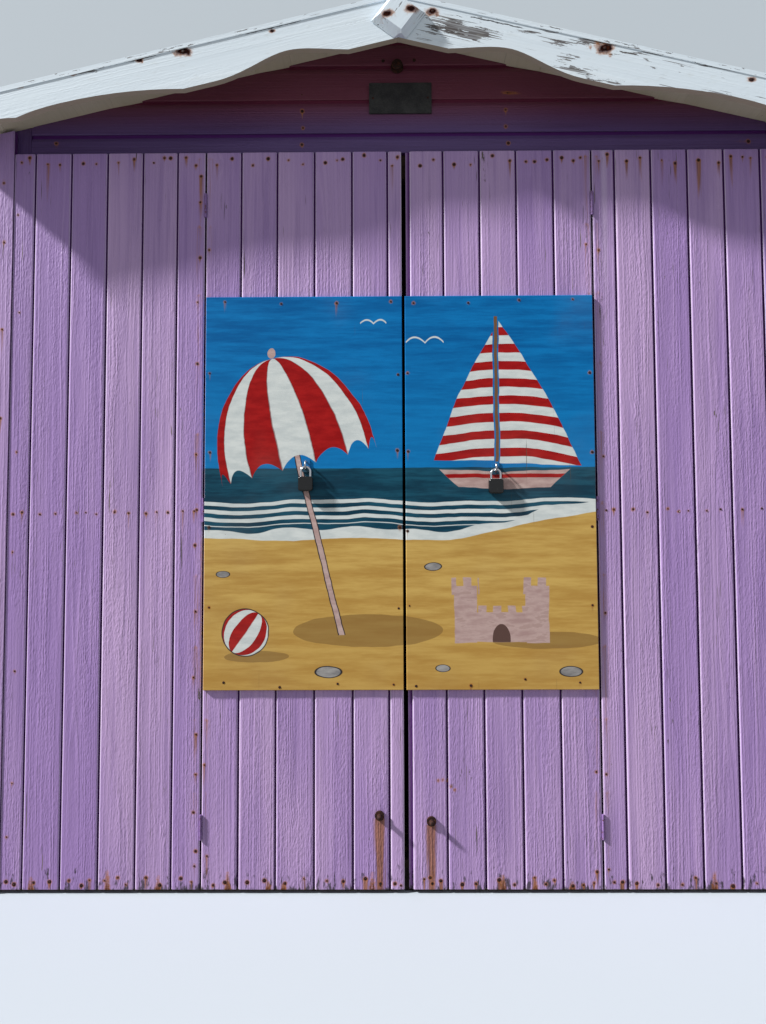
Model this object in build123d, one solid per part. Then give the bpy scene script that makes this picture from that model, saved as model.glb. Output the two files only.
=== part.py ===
from build123d import *
from math import atan, cos, degrees, radians, tan
import os

# Beach hut, eight feet wide, with a pair of boarded doors in its front.
# The origin is the middle of its footprint, on the ground.
# The front faces -Y, X runs to the right seen from the front, and Z is up.
# All sizes are in millimetres, and angles in degrees.

# Overall sizes
front_width = 2440          # across the front boards, between the corner boards
hut_depth = 3050            # face of the front boards to face of the rear wall
front_height = 2288         # height of the front boards and the door leaves
ground_gap = 12             # boards and cladding stop this far above the ground
gable_rise = 379            # board tops to the underside of the roof boards at the ridge
roof_pitch = 13.4           # slope of the roof

# Boards and cladding
board_thickness = 20        # matchboards of the front and the doors
cladding_thickness = 18     # shiplap of the gable, the sides and the rear
joint_chamfer = 4           # bevel along the edges of the matchboards
head_gap = 6                # between the board tops and the gable cladding
corner_gap = 2              # between the front boards and the corner boards
corner_board_proud = 21     # corner boards stand in front of the front boards
corner_board_top_gap = 12   # below the roof boards

# Floor
bearer_height = 70
bearer_width = 75
bearer_count = 5
floor_thickness = 22

# Wall frame
post_depth = 70             # depth of posts and studs, across the wall
stud_width = 45             # width of studs, plates, rails and beams
corner_post_width = 82
side_stud_count = 3
rear_stud_count = 3
plate_height = 45
tie_beam_height = 95
head_lap = 70               # board tops above the underside of the tie beams
rail_height = 90
middle_rail_rise = 1034     # floor to the underside of the middle rail of a side panel
corner_post_show = 42       # corner posts behind the outer edge of the side panels
gable_stud_offset = 322     # gable studs from the middle

# Roof
rafter_depth = 70
rafter_count = 6
ridge_board_width = 32
ridge_board_depth = 120
roof_board_thickness = 20
felt_thickness = 3
felt_drip = 40              # felt turned down over the eaves boards
side_overhang = 90          # roof boards past the side walls
eaves_board_thickness = 20
eaves_board_drop = 55       # eaves board below the roof boards
end_overhang = 150          # face of the front boards to face of the bargeboards

# Scalloped bargeboards
barge_thickness = 22
barge_rise = 30             # top of the capping above the roof boards' underside
barge_depth = 121           # full depth below the capping, square to the slope
barge_first_point = 150     # first point from the middle of the hut
barge_first_hollow = (338, 80)    # place and depth of the hollow nearest the apex
barge_swell = 552           # the board is at full depth again from here
barge_second_point = 645    # to here
barge_second_hollow = (975, 76)
barge_last_point = (1145, 88)
barge_last_hollow = (1310, 76)
barge_end_depth = 84        # depth at the cut end
barge_flick = 0.25          # slope of the edge at a point, across the board's run
barge_end = 20              # past the eaves boards
barge_joint = 2             # gap between the two bargeboards at the apex
capping_height = 15
capping_proud = 2
apex_block_size = 118       # square foot of the block
apex_block_bevel = 19       # its sides slope in by this much
apex_block_thickness = 28
apex_block_turn = 53        # the block is tilted on its corner
apex_block_drop = 79        # its middle, below the top of the cappings

# Door leaves
hinge_line = 610            # pins of the hinges, from the middle of the hut
hinge_seam = 6              # between a leaf and its side panel
pin_proud = 2               # hinge pins in front of the boards' face
left_meeting_edge = 9       # right edge of the left leaf
meeting_gap = 14
tongue_length = 13          # tongue on the right leaf's meeting edge
tongue_thickness = 6
door_back_gap = 5           # between the leaves and the frame behind them
door_stop_width = 25        # door post behind the edge of a leaf
door_post_width = 95
ledge_height = 95
ledge_thickness = 25
ledge_clearance = 8         # ledge ends to the door posts
ledge_setback = 20          # ledge ends from the meeting edges
lower_ledge_rise = 58       # floor to the lowest ledge
upper_ledge_drop = 150      # underside of the tie beams to the underside of the top ledge
brace_width = 90

# Hinges
hinge_length = 75
knuckle_radius = 4
pin_radius = 1.5
pin_clearance = 0.2
knuckle_gap = 0.5
flap_thickness = 1.5
flap_setback = 1            # flat of a flap, behind the knuckles
flap_margin = 8             # flap's edge to the edge of its door post

# Picture boards on the leaves
picture_bottom = 610
picture_size = 1220
picture_thickness = 9
picture_edge = 604          # outer edges, from the middle of the hut
picture_gap = 9             # between the two picture boards

# Locks and pegs on the leaves
left_lock_place = (-290, 1286)
right_lock_place = (295, 1276)
staple_plate_width = 24
staple_plate_height = 40
staple_plate_thickness = 3
staple_plate_corner = 4
staple_rod_radius = 3
staple_loop_height = 24
staple_reach = 26           # picture board's face to the middle of the loop's end
shackle_rod_radius = 3.5
shackle_leg_spacing = 29
padlock_width = 45
padlock_height = 45
padlock_thickness = 22
padlock_corner = 8
padlock_edge = 4            # rounding of its front and back edges
padlock_back_gap = 1        # padlock to the picture board
padlock_drop = 23           # lower staple leg to the top of the padlock
shackle_depth = 10          # shackle legs inside the padlock
lock_clearance = 0.3
left_peg_place = (-66, 233)
right_peg_place = (91, 216)
peg_radius = 7.25
peg_length = 30
peg_collar_radius = 14.5
peg_collar_length = 8

# Plate and knob on the gable
plate_size = (200, 100, 6)
plate_corner = 2
plate_offset = 8            # its middle, to the right of the ridge
plate_drop = 196            # its middle, below the roof boards at the ridge
knob_offset = -2
knob_drop = 92
knob_radius = 20            # its foot
knob_length = 24
knob_foot_thickness = 4
knob_neck_radius = 10
knob_neck = (6, 10)         # from here to here, above the gable
knob_head_radius = 17
knob_head_rise = 16         # widest part of the head, above the gable

# Lines that follow from the sizes
slope = tan(radians(roof_pitch))
slant = 1 / cos(radians(roof_pitch))
front_face = -hut_depth / 2
rear_face = hut_depth / 2
boards_back = front_face + board_thickness
leaf_stop = boards_back + door_back_gap
gable_back = boards_back + cladding_thickness
rear_inside = rear_face - cladding_thickness
half_front = front_width / 2
corner_post_inside = half_front - corner_post_show
wall_inside = corner_post_inside + corner_post_width
wall_outside = wall_inside + cladding_thickness
boards_top = ground_gap + front_height
floor_top = bearer_height + floor_thickness
ridge_soffit = boards_top + gable_rise
rafter_height = rafter_depth * slant
plate_inside = wall_inside - post_depth
post_back = boards_back + post_depth
rear_post_front = rear_inside - post_depth
tie_beam_bottom = boards_top - head_lap
tie_beam_top = tie_beam_bottom + tie_beam_height
lower_ledge = floor_top + lower_ledge_rise
upper_ledge = tie_beam_bottom - upper_ledge_drop
ledge_heights = (lower_ledge, (lower_ledge + upper_ledge) / 2, upper_ledge)
hinge_heights = [z + (ledge_height - hinge_length) / 2 for z in ledge_heights]
leaf_edge = hinge_line - hinge_seam / 2
panel_edge = hinge_line + hinge_seam / 2
door_stop_inside = hinge_line - door_stop_width
eaves_line = wall_outside + side_overhang
eaves_face = eaves_line + eaves_board_thickness
barge_reach = eaves_face + barge_end
barge_face = front_face - end_overhang
barge_back = barge_face + barge_thickness
pin_line = front_face - pin_proud


def soffit(x):
    """Height of the roof boards' underside at x."""
    return ridge_soffit - abs(x) * slope


plate_bottom = soffit(wall_inside) - rafter_height - plate_height


def block(x_span, y_span, z_span):
    """A square-edged timber between three pairs of limits."""
    size = [high - low for low, high in (x_span, y_span, z_span)]
    corner = (x_span[0], y_span[0], z_span[0])
    return Pos(*corner) * Box(*size, align=(Align.MIN, Align.MIN, Align.MIN))


def upright(outline, y_span):
    """An outline in X and Z, seen from the front, carried back along Y."""
    face = make_face(Polyline(*outline, close=True))
    return extrude(Plane.XZ.offset(-y_span[1]) * face, y_span[1] - y_span[0])


def standing(outline, z_span):
    """An outline in X and Y, seen from above, carried up along Z."""
    face = make_face(Polyline(*outline, close=True))
    return extrude(Plane.XY.offset(z_span[0]) * face, z_span[1] - z_span[0])


def other_side(solid):
    """The same piece on the other side of the hut."""
    return mirror(solid, about=Plane.YZ)


def other_end(solid):
    """The same piece at the other end of the hut."""
    return mirror(solid, about=Plane.XZ)


def both_sides(solids):
    return solids + [other_side(solid) for solid in solids]


def even_places(first, last, count):
    """Evenly spaced places from first to last."""
    step = (last - first) / (count - 1)
    return [first + step * index for index in range(count)]


# Floor

def floor_bearers():
    places = even_places(leaf_stop, rear_inside - bearer_width, bearer_count)
    across = (-wall_inside, wall_inside)
    return [block(across, (y, y + bearer_width), (0, bearer_height)) for y in places]


def floor():
    return [block((-wall_inside, wall_inside), (leaf_stop, rear_inside), (bearer_height, floor_top))]


def sole_plates():
    height = (floor_top, floor_top + plate_height)
    side = block((plate_inside, wall_inside), (post_back, rear_post_front), height)
    rear = block((-corner_post_inside, corner_post_inside), (rear_post_front, rear_inside), height)
    return both_sides([side]) + [rear]


# Wall frame

def wall_posts():
    """Corner posts, and studs along the sides and the rear."""
    corner_x = (corner_post_inside, wall_inside)
    front_lip = block(corner_x, (boards_back, gable_back), (floor_top, boards_top))
    front = block(corner_x, (gable_back, post_back), (floor_top, plate_bottom))
    rear = block(corner_x, (rear_post_front, rear_inside), (floor_top, plate_bottom))
    stud_span = (floor_top + plate_height, plate_bottom)
    side_places = even_places(post_back, rear_post_front - stud_width, side_stud_count + 2)[1:-1]
    sides = [block((plate_inside, wall_inside), (y, y + stud_width), stud_span) for y in side_places]
    ends = (-corner_post_inside, corner_post_inside - stud_width)
    rear_places = even_places(*ends, rear_stud_count + 2)[1:-1]
    rear_span = (stud_span[0], tie_beam_bottom)
    rears = [block((x, x + stud_width), (rear_post_front, rear_inside), rear_span) for x in rear_places]
    return both_sides([front_lip + front, rear] + sides) + rears


def door_posts():
    """Posts rebated behind the hinge edges of the leaves."""
    outer = door_stop_inside + door_post_width
    outline = [
        (door_stop_inside, leaf_stop),
        (panel_edge, leaf_stop),
        (panel_edge, boards_back),
        (outer, boards_back),
        (outer, post_back),
        (door_stop_inside, post_back),
    ]
    return both_sides([standing(outline, (floor_top, tie_beam_bottom))])


def panel_rails():
    """Three rails behind each side panel, between its two posts."""
    across = (door_stop_inside + door_post_width, corner_post_inside)
    depth = (boards_back, boards_back + stud_width)
    bottoms = (floor_top, floor_top + middle_rail_rise, tie_beam_bottom - rail_height)
    return both_sides([block(across, depth, (z, z + rail_height)) for z in bottoms])


def tie_beams():
    across = (-corner_post_inside, corner_post_inside)
    height = (tie_beam_bottom, tie_beam_top)
    front = block(across, (gable_back, gable_back + stud_width), height)
    rear = block(across, (rear_inside - stud_width, rear_inside), height)
    return [front, rear]


def wall_plates():
    """Plates over the side walls, their tops cut to the slope of the rafters."""
    outline = [
        (plate_inside, plate_bottom),
        (wall_inside, plate_bottom),
        (wall_inside, soffit(wall_inside) - rafter_height),
        (plate_inside, soffit(plate_inside) - rafter_height),
    ]
    return both_sides([upright(outline, (gable_back, rear_inside))])


def gable_studs():
    """Short studs from the tie beams to the end rafters."""
    near = gable_stud_offset - stud_width / 2
    far = gable_stud_offset + stud_width / 2
    outline = [
        (near, tie_beam_top),
        (far, tie_beam_top),
        (far, soffit(far) - rafter_height),
        (near, soffit(near) - rafter_height),
    ]
    front = upright(outline, (gable_back, gable_back + stud_width))
    rear = upright(outline, (rear_inside - stud_width, rear_inside))
    return both_sides([front, rear])


# Walls

def side_panel():
    """Boards of the right side panel, bevelled along the hinge seam."""
    outline = [
        (panel_edge, front_face + joint_chamfer),
        (panel_edge + joint_chamfer, front_face),
        (half_front, front_face),
        (half_front, boards_back),
        (panel_edge, boards_back),
    ]
    return standing(outline, (ground_gap, boards_top))


def end_wall(bottom, y_span):
    """Cladding of an end wall, from a height up to the roof boards."""
    outline = [
        (-wall_inside, bottom),
        (wall_inside, bottom),
        (wall_inside, soffit(wall_inside)),
        (0, ridge_soffit),
        (-wall_inside, soffit(wall_inside)),
    ]
    return upright(outline, y_span)


def side_wall():
    """Cladding of the right side wall, its top cut to the slope of the roof."""
    outline = [
        (wall_inside, ground_gap),
        (wall_outside, ground_gap),
        (wall_outside, soffit(wall_outside)),
        (wall_inside, soffit(wall_inside)),
    ]
    return upright(outline, (boards_back, rear_face))


def corner_boards():
    """Upright boards that cover the four corners, cut to the slope of the roof."""
    inside = half_front + corner_gap
    outline = [
        (inside, ground_gap),
        (wall_outside, ground_gap),
        (wall_outside, soffit(wall_outside) - corner_board_top_gap),
        (inside, soffit(inside) - corner_board_top_gap),
    ]
    front = upright(outline, (front_face - corner_board_proud, boards_back))
    rear = upright(outline, (rear_face, rear_face + corner_board_proud))
    return both_sides([front, rear])


# Roof

def ridge_board():
    half = ridge_board_width / 2
    bottom = ridge_soffit - ridge_board_depth
    outline = [
        (-half, bottom),
        (half, bottom),
        (half, soffit(half)),
        (0, ridge_soffit),
        (-half, soffit(half)),
    ]
    return [upright(outline, (gable_back, rear_inside))]


def sloping_band(inner, outer, low, high):
    """Outline between two X limits and two heights above the roof boards' underside."""
    return [
        (inner, soffit(inner) + low),
        (outer, soffit(outer) + low),
        (outer, soffit(outer) + high),
        (inner, soffit(inner) + high),
    ]


def rafters():
    band = sloping_band(ridge_board_width / 2, wall_inside, -rafter_height, 0)
    places = even_places(gable_back, rear_inside - stud_width, rafter_count)
    return both_sides([upright(band, (y, y + stud_width)) for y in places])


def roof_boards():
    band = sloping_band(0, eaves_line, 0, roof_board_thickness * slant)
    return upright(band, (barge_back, -barge_back))


def eaves_boards():
    band = sloping_band(eaves_line, eaves_face, -eaves_board_drop, roof_board_thickness * slant)
    return both_sides([upright(band, (barge_back, -barge_back))])


def roof_felt():
    """One sheet of felt over the ridge, turned down over both eaves boards."""
    under = roof_board_thickness * slant
    over = under + felt_thickness * slant
    edge = eaves_face + felt_thickness
    right = [
        (eaves_face, soffit(eaves_face) + under),
        (eaves_face, soffit(eaves_face) + under - felt_drip),
        (edge, soffit(eaves_face) + under - felt_drip),
        (edge, soffit(edge) + over),
    ]
    left = [(-x, z) for x, z in reversed(right)]
    ridge_under = (0, ridge_soffit + under)
    ridge_over = (0, ridge_soffit + over)
    return [upright([ridge_under] + right + [ridge_over] + left, (barge_back, -barge_back))]


# Scalloped bargeboards

def under_capping(x, depth):
    """Point of a bargeboard at x, at a depth below the capping, square to the slope."""
    return (x, soffit(x) + (barge_rise - capping_height - depth) * slant)


def scallops():
    """Lower edge of the right bargeboard, out from the apex.

    It runs straight to the first point, rises in a round hollow, and swells
    down to a second straight run. From there it rises and falls in two waves
    that meet in a point, and ends square at the cut end of the board.
    """
    along = (1, -slope)
    rising = (1, barge_flick - slope)
    falling = (1, -barge_flick - slope)
    inner = under_capping(barge_joint / 2, barge_depth)
    first = under_capping(barge_first_point, barge_depth)
    swell = under_capping(barge_swell, barge_depth)
    second = under_capping(barge_second_point, barge_depth)
    last = under_capping(*barge_last_point)
    end = under_capping(barge_reach, barge_end_depth)
    return [
        Line(inner, first),
        Spline(first, under_capping(*barge_first_hollow), swell, tangents=[rising, along]),
        Line(swell, second),
        Spline(second, under_capping(*barge_second_hollow), last, tangents=[rising, falling]),
        Spline(last, under_capping(*barge_last_hollow), end, tangents=[rising, falling]),
    ]


def bargeboard():
    """Right bargeboard of the front, with its scalloped lower edge."""
    edge = scallops()
    top = Polyline(
        edge[-1] @ 1,
        under_capping(barge_reach, 0),
        under_capping(barge_joint / 2, 0),
        edge[0] @ 0,
    )
    face = make_face(edge + top.edges())
    return extrude(Plane.XZ.offset(-barge_back) * face, barge_thickness)


def barge_capping():
    """Thin strip on the top edge of a bargeboard."""
    band = sloping_band(
        barge_joint / 2,
        barge_reach,
        (barge_rise - capping_height) * slant,
        barge_rise * slant,
    )
    return upright(band, (barge_face - capping_proud, barge_back))


def apex_block():
    """Block with sloping sides, tilted on its corner, that covers the apex joint.

    Its lowest corner is sawn off level with the lower edge of the bargeboards.
    """
    height = ridge_soffit + barge_rise * slant - apex_block_drop
    foot = Pos(0, height) * Rot(0, 0, apex_block_turn) * Rectangle(apex_block_size, apex_block_size)
    slope_in = degrees(atan(apex_block_bevel / apex_block_thickness))
    back = barge_face - capping_proud
    solid = extrude(Plane.XZ.offset(-back) * foot, apex_block_thickness, taper=slope_in)
    sawn_left, sawn_peak, sawn_right = [
        under_capping(x, barge_depth) for x in (-apex_block_size, 0, apex_block_size)
    ]
    sawn_off = upright(
        [sawn_left, sawn_peak, sawn_right, (0, height - apex_block_size)],
        (back - 2 * apex_block_thickness, back),
    )
    return solid - sawn_off


# Fittings on the gable

def name_plate():
    """Bare plate of slate."""
    width, height, thickness = plate_size
    face = Pos(plate_offset, ridge_soffit - plate_drop) * RectangleRounded(width, height, plate_corner)
    return [extrude(Plane.XZ.offset(-boards_back) * face, thickness)]


def gable_knob():
    """Round knob, turned about its own axis."""
    neck_start, neck_end = knob_neck
    outline = Polyline(
        (0, 0),
        (knob_radius, 0),
        (knob_radius, knob_foot_thickness),
        (knob_neck_radius, neck_start),
        (knob_neck_radius, neck_end),
    )
    head = Spline(
        (knob_neck_radius, neck_end),
        (knob_head_radius, knob_head_rise),
        (0, knob_length),
        tangents=[(1, 0.3), (-1, 0)],
    )
    close = Line((0, knob_length), (0, 0))
    face = make_face(outline.edges() + [head, close])
    solid = revolve(Plane.XZ * face, Axis.Z)
    place = Pos(knob_offset, boards_back, ridge_soffit - knob_drop)
    return [place * Rot(90, 0, 0) * solid]


# Hinges

def knuckle(x, bottom, length, bore):
    """One barrel of a hinge, with its bore."""
    barrel = Cylinder(knuckle_radius, length, align=(Align.CENTER, Align.CENTER, Align.MIN))
    if bore:
        barrel -= Cylinder(bore, length, align=(Align.CENTER, Align.CENTER, Align.MIN))
    return Pos(x, pin_line, bottom) * barrel


def frame_hinges():
    """Flaps on the door posts, each with the middle knuckle and the pin."""
    third = hinge_length / 3
    flap_x = (hinge_line + hinge_seam / 2 - flap_thickness, hinge_line + hinge_seam / 2)
    web_front = pin_line + knuckle_radius + flap_setback
    flaps = []
    for bottom in hinge_heights:
        span = (bottom, bottom + hinge_length)
        middle = (bottom + third + knuckle_gap, bottom + 2 * third - knuckle_gap)
        web = block(flap_x, (web_front, leaf_stop), span)
        tail = block(
            (door_stop_inside + flap_margin, flap_x[1]),
            (leaf_stop - flap_thickness, leaf_stop),
            span,
        )
        neck = block(flap_x, (pin_line, web_front), middle)
        barrel = knuckle(hinge_line, middle[0], middle[1] - middle[0], 0)
        pin = Pos(hinge_line, pin_line, bottom) * Cylinder(
            pin_radius, hinge_length, align=(Align.CENTER, Align.CENTER, Align.MIN)
        )
        flaps.append(web + tail + neck + barrel + pin)
    return both_sides(flaps)


def leaf_hinges():
    """Flaps on the edge of the right leaf, each with two outer knuckles."""
    third = hinge_length / 3
    flap_x = (hinge_line - hinge_seam / 2, hinge_line - hinge_seam / 2 + flap_thickness)
    web_front = pin_line + knuckle_radius + flap_setback
    bore = Cylinder(
        pin_radius + pin_clearance,
        hinge_length,
        align=(Align.CENTER, Align.CENTER, Align.MIN),
    )
    flaps = []
    for bottom in hinge_heights:
        flap = block(flap_x, (web_front, boards_back), (bottom, bottom + hinge_length))
        for start in (bottom, bottom + 2 * third):
            flap += knuckle(hinge_line, start, third, 0)
            flap += block(flap_x, (pin_line, web_front), (start, start + third))
        flaps.append(flap - Pos(hinge_line, pin_line, bottom) * bore)
    return flaps


# Door leaves

def left_leaf():
    outline = [
        (-leaf_edge, front_face + joint_chamfer),
        (-leaf_edge + joint_chamfer, front_face),
        (left_meeting_edge - joint_chamfer, front_face),
        (left_meeting_edge, front_face + joint_chamfer),
        (left_meeting_edge, boards_back),
        (-leaf_edge, boards_back),
    ]
    return [standing(outline, (ground_gap, boards_top))]


def right_leaf():
    tip = left_meeting_edge + meeting_gap
    root = tip + tongue_length
    tongue_front = front_face + (board_thickness - tongue_thickness) / 2
    tongue_back = tongue_front + tongue_thickness
    outline = [
        (tip, tongue_front),
        (root, tongue_front),
        (root, front_face + joint_chamfer),
        (root + joint_chamfer, front_face),
        (leaf_edge - joint_chamfer, front_face),
        (leaf_edge, front_face + joint_chamfer),
        (leaf_edge, boards_back),
        (root, boards_back),
        (root, tongue_back),
        (tip, tongue_back),
    ]
    return [standing(outline, (ground_gap, boards_top))]


def ledge_limits(meeting_edge):
    """Ledges run from near the meeting edge to near the door post, in X."""
    return (meeting_edge + ledge_setback, door_stop_inside - ledge_clearance)


def ledges(limits):
    depth = (boards_back, boards_back + ledge_thickness)
    return [block(limits, depth, (z, z + ledge_height)) for z in ledge_heights]


def braces(limits):
    """Braces rise from the hinge side to the meeting side, between the ledges."""
    depth = (boards_back, boards_back + ledge_thickness)
    inner, outer = limits
    solids = []
    for low, high in zip(ledge_heights, ledge_heights[1:]):
        outline = [
            (outer, low + ledge_height),
            (inner + brace_width, high),
            (inner, high),
            (outer - brace_width, low + ledge_height),
        ]
        solids.append(upright(outline, depth))
    return solids


def picture_board(edges):
    """Sheet of plywood nailed to the face of a leaf."""
    depth = (front_face - picture_thickness, front_face)
    return [block(edges, depth, (picture_bottom, picture_bottom + picture_size))]


# Locks and pegs

def staple(place):
    """Plate with a looped rod that stands out from the picture board."""
    x, z = place
    face = front_face - picture_thickness
    plate_face = Pos(x, z + staple_loop_height / 2) * RectangleRounded(
        staple_plate_width, staple_plate_height, staple_plate_corner
    )
    plate = extrude(Plane.XZ.offset(-face) * plate_face, staple_plate_thickness)
    bend = face - staple_reach + staple_loop_height / 2
    start = face - staple_plate_thickness / 2
    top = z + staple_loop_height
    middle = (x, bend - staple_loop_height / 2, z + staple_loop_height / 2)
    path = Wire(
        [
            Line((x, start, z), (x, bend, z)),
            ThreePointArc((x, bend, z), middle, (x, bend, top)),
            Line((x, bend, top), (x, start, top)),
        ]
    )
    section = Plane((x, start, z), x_dir=(1, 0, 0), z_dir=(0, -1, 0)) * Circle(staple_rod_radius)
    return [plate + sweep(section, path=path)]


def shackle_plane():
    """Y of the shackle and of the middle of the padlock."""
    return front_face - picture_thickness - padlock_back_gap - padlock_thickness / 2


def shackle(place):
    """Bent rod that hangs on the lower leg of its staple."""
    x, z = place
    y = shackle_plane()
    half = shackle_leg_spacing / 2
    top = z + staple_rod_radius + lock_clearance + shackle_rod_radius
    bend = top - half
    foot = z - padlock_drop - shackle_depth + lock_clearance
    path = Wire(
        [
            Line((x - half, y, foot), (x - half, y, bend)),
            ThreePointArc((x - half, y, bend), (x, y, top), (x + half, y, bend)),
            Line((x + half, y, bend), (x + half, y, foot)),
        ]
    )
    section = Plane((x - half, y, foot)) * Circle(shackle_rod_radius)
    return [sweep(section, path=path)]


def padlock(place):
    """Padlock body with rounded edges and two holes for its shackle."""
    x, z = place
    top = z - padlock_drop
    face = Pos(x, top - padlock_height / 2) * RectangleRounded(padlock_width, padlock_height, padlock_corner)
    back = shackle_plane() + padlock_thickness / 2
    body = extrude(Plane.XZ.offset(-back) * face, padlock_thickness)
    rims = body.faces().sort_by(Axis.Y)
    body = fillet(rims[0].edges() + rims[-1].edges(), padlock_edge)
    hole = Cylinder(shackle_rod_radius + lock_clearance, 2 * shackle_depth)
    for side in (-1, 1):
        body -= Pos(x + side * shackle_leg_spacing / 2, shackle_plane(), top) * hole
    return [body]


def peg(place):
    """Round peg with a collar at its foot and a domed end."""
    x, z = place
    rod = Polyline(
        (0, 0),
        (peg_collar_radius, 0),
        (peg_collar_radius, peg_collar_length),
        (peg_radius, peg_collar_length),
        (peg_radius, peg_length - peg_radius),
    )
    diagonal = peg_radius * cos(radians(45))
    centre = peg_length - peg_radius
    dome = ThreePointArc((peg_radius, centre), (diagonal, centre + diagonal), (0, peg_length))
    close = Line((0, peg_length), (0, 0))
    solid = revolve(Plane.XZ * make_face(rod.edges() + [dome, close]), Axis.Z)
    return [Pos(x, front_face, z) * Rot(90, 0, 0) * solid]


# All pieces, by the name of the file that each goes to

right_limits = ledge_limits(left_meeting_edge + meeting_gap)
left_limits = ledge_limits(-left_meeting_edge)
right_picture = (left_meeting_edge + picture_gap, picture_edge)
left_picture = (-picture_edge, left_meeting_edge)
front_barges = both_sides([bargeboard()])
front_cappings = both_sides([barge_capping()])

pieces = {
    "floor_bearers": floor_bearers(),
    "floor": floor(),
    "sole_plates": sole_plates(),
    "wall_posts": wall_posts(),
    "door_posts": door_posts(),
    "panel_rails": panel_rails(),
    "tie_beams": tie_beams(),
    "wall_plates": wall_plates(),
    "gable_studs": gable_studs(),
    "left_front_panel": [other_side(side_panel())],
    "right_front_panel": [side_panel()],
    "front_gable": [end_wall(boards_top + head_gap, (boards_back, gable_back))],
    "left_wall": [other_side(side_wall())],
    "right_wall": [side_wall()],
    "rear_wall": [end_wall(ground_gap, (rear_inside, rear_face))],
    "corner_boards": corner_boards(),
    "ridge_board": ridge_board(),
    "rafters": rafters(),
    "left_roof_boards": [other_side(roof_boards())],
    "right_roof_boards": [roof_boards()],
    "roof_felt": roof_felt(),
    "eaves_boards": eaves_boards(),
    "front_barges": front_barges,
    "rear_barges": [other_end(solid) for solid in front_barges],
    "front_cappings": front_cappings,
    "rear_cappings": [other_end(solid) for solid in front_cappings],
    "apex_blocks": [apex_block(), other_end(apex_block())],
    "name_plate": name_plate(),
    "gable_knob": gable_knob(),
    "frame_hinges": frame_hinges(),
    "left_door_boards": left_leaf(),
    "left_door_ledges": [other_side(solid) for solid in ledges(left_limits)],
    "left_door_braces": [other_side(solid) for solid in braces(left_limits)],
    "left_door_hinges": [other_side(solid) for solid in leaf_hinges()],
    "left_picture_board": picture_board(left_picture),
    "left_staple": staple(left_lock_place),
    "left_shackle": shackle(left_lock_place),
    "left_padlock": padlock(left_lock_place),
    "left_peg": peg(left_peg_place),
    "right_door_boards": right_leaf(),
    "right_door_ledges": ledges(right_limits),
    "right_door_braces": braces(right_limits),
    "right_door_hinges": leaf_hinges(),
    "right_picture_board": picture_board(right_picture),
    "right_staple": staple(right_lock_place),
    "right_shackle": shackle(right_lock_place),
    "right_padlock": padlock(right_lock_place),
    "right_peg": peg(right_peg_place),
}

os.makedirs("parts", exist_ok=True)
for name, solids in pieces.items():
    export_step(Compound(children=solids), f"parts/{name}.step")
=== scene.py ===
import bpy
import numpy as np
from functools import partialmethod
from math import cos, pi, radians, sin, tan
from mathutils import Matrix, Vector


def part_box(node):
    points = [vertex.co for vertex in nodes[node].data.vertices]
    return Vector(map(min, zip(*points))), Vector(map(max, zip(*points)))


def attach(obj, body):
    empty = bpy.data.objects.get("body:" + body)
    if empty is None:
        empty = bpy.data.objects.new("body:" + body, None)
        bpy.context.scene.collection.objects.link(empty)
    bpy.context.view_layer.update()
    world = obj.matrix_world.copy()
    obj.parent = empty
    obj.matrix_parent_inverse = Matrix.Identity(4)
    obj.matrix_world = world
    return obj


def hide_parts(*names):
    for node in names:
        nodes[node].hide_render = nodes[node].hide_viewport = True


# Beach hut: a boarded shed with a pair of doors, a scalloped gable and a painted picture on its doors.
# Metres, the front faces -Y, X runs to the right, Z is up, and the ground is Z = 0.
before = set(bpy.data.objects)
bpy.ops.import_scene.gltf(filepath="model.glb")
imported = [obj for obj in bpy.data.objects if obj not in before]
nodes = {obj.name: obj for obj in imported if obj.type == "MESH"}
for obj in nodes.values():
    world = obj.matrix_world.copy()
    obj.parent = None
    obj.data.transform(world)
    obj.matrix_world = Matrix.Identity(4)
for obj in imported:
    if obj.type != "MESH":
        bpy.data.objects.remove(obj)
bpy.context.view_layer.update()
bpy.context.scene.view_settings.view_transform = "Standard"


# Frame timbers
# Bearers, plates, posts, rails, studs, beams and rafters are sawn softwood, left bare.
# They are nailed together, and inside the hut they have gone brown with age.


class Field:
    """A number that varies over a surface. Sums, products and the like become Math nodes."""

    def __init__(self, socket):
        self.socket = socket

    def maths(self, operation, *others):
        made = self.socket.id_data.nodes.new("ShaderNodeMath")
        made.operation = operation
        for port, value in zip(made.inputs, (self,) + others):
            feed(port, value)
        return Field(made.outputs[0])

    __add__ = partialmethod(maths, "ADD")
    __sub__ = partialmethod(maths, "SUBTRACT")
    __mul__ = partialmethod(maths, "MULTIPLY")
    __neg__ = partialmethod(maths, "MULTIPLY", -1)
    __truediv__ = partialmethod(maths, "DIVIDE")
    __abs__ = partialmethod(maths, "ABSOLUTE")
    power = partialmethod(maths, "POWER")
    sine = partialmethod(maths, "SINE")
    fraction = partialmethod(maths, "FRACT")
    least = partialmethod(maths, "MINIMUM")
    most = partialmethod(maths, "MAXIMUM")

    def rise(self, low, high):
        """0 below low, 1 above high, and a smooth step between. With low above high it falls."""
        made = self.socket.id_data.nodes.new("ShaderNodeMapRange")
        made.interpolation_type = "SMOOTHSTEP"
        feed(made.inputs["Value"], self)
        limits = (min(low, high), max(low, high), low > high, low < high)
        for title, value in zip(("From Min", "From Max", "To Min", "To Max"), limits):
            made.inputs[title].default_value = value
        return Field(made.outputs["Result"])


def feed(port, value):
    """Gives a shader socket a constant, or links a field or another socket to it."""
    if isinstance(value, Field):
        value = value.socket
    if isinstance(value, bpy.types.NodeSocket):
        port.id_data.links.new(value, port)
    else:
        port.default_value = value


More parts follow.
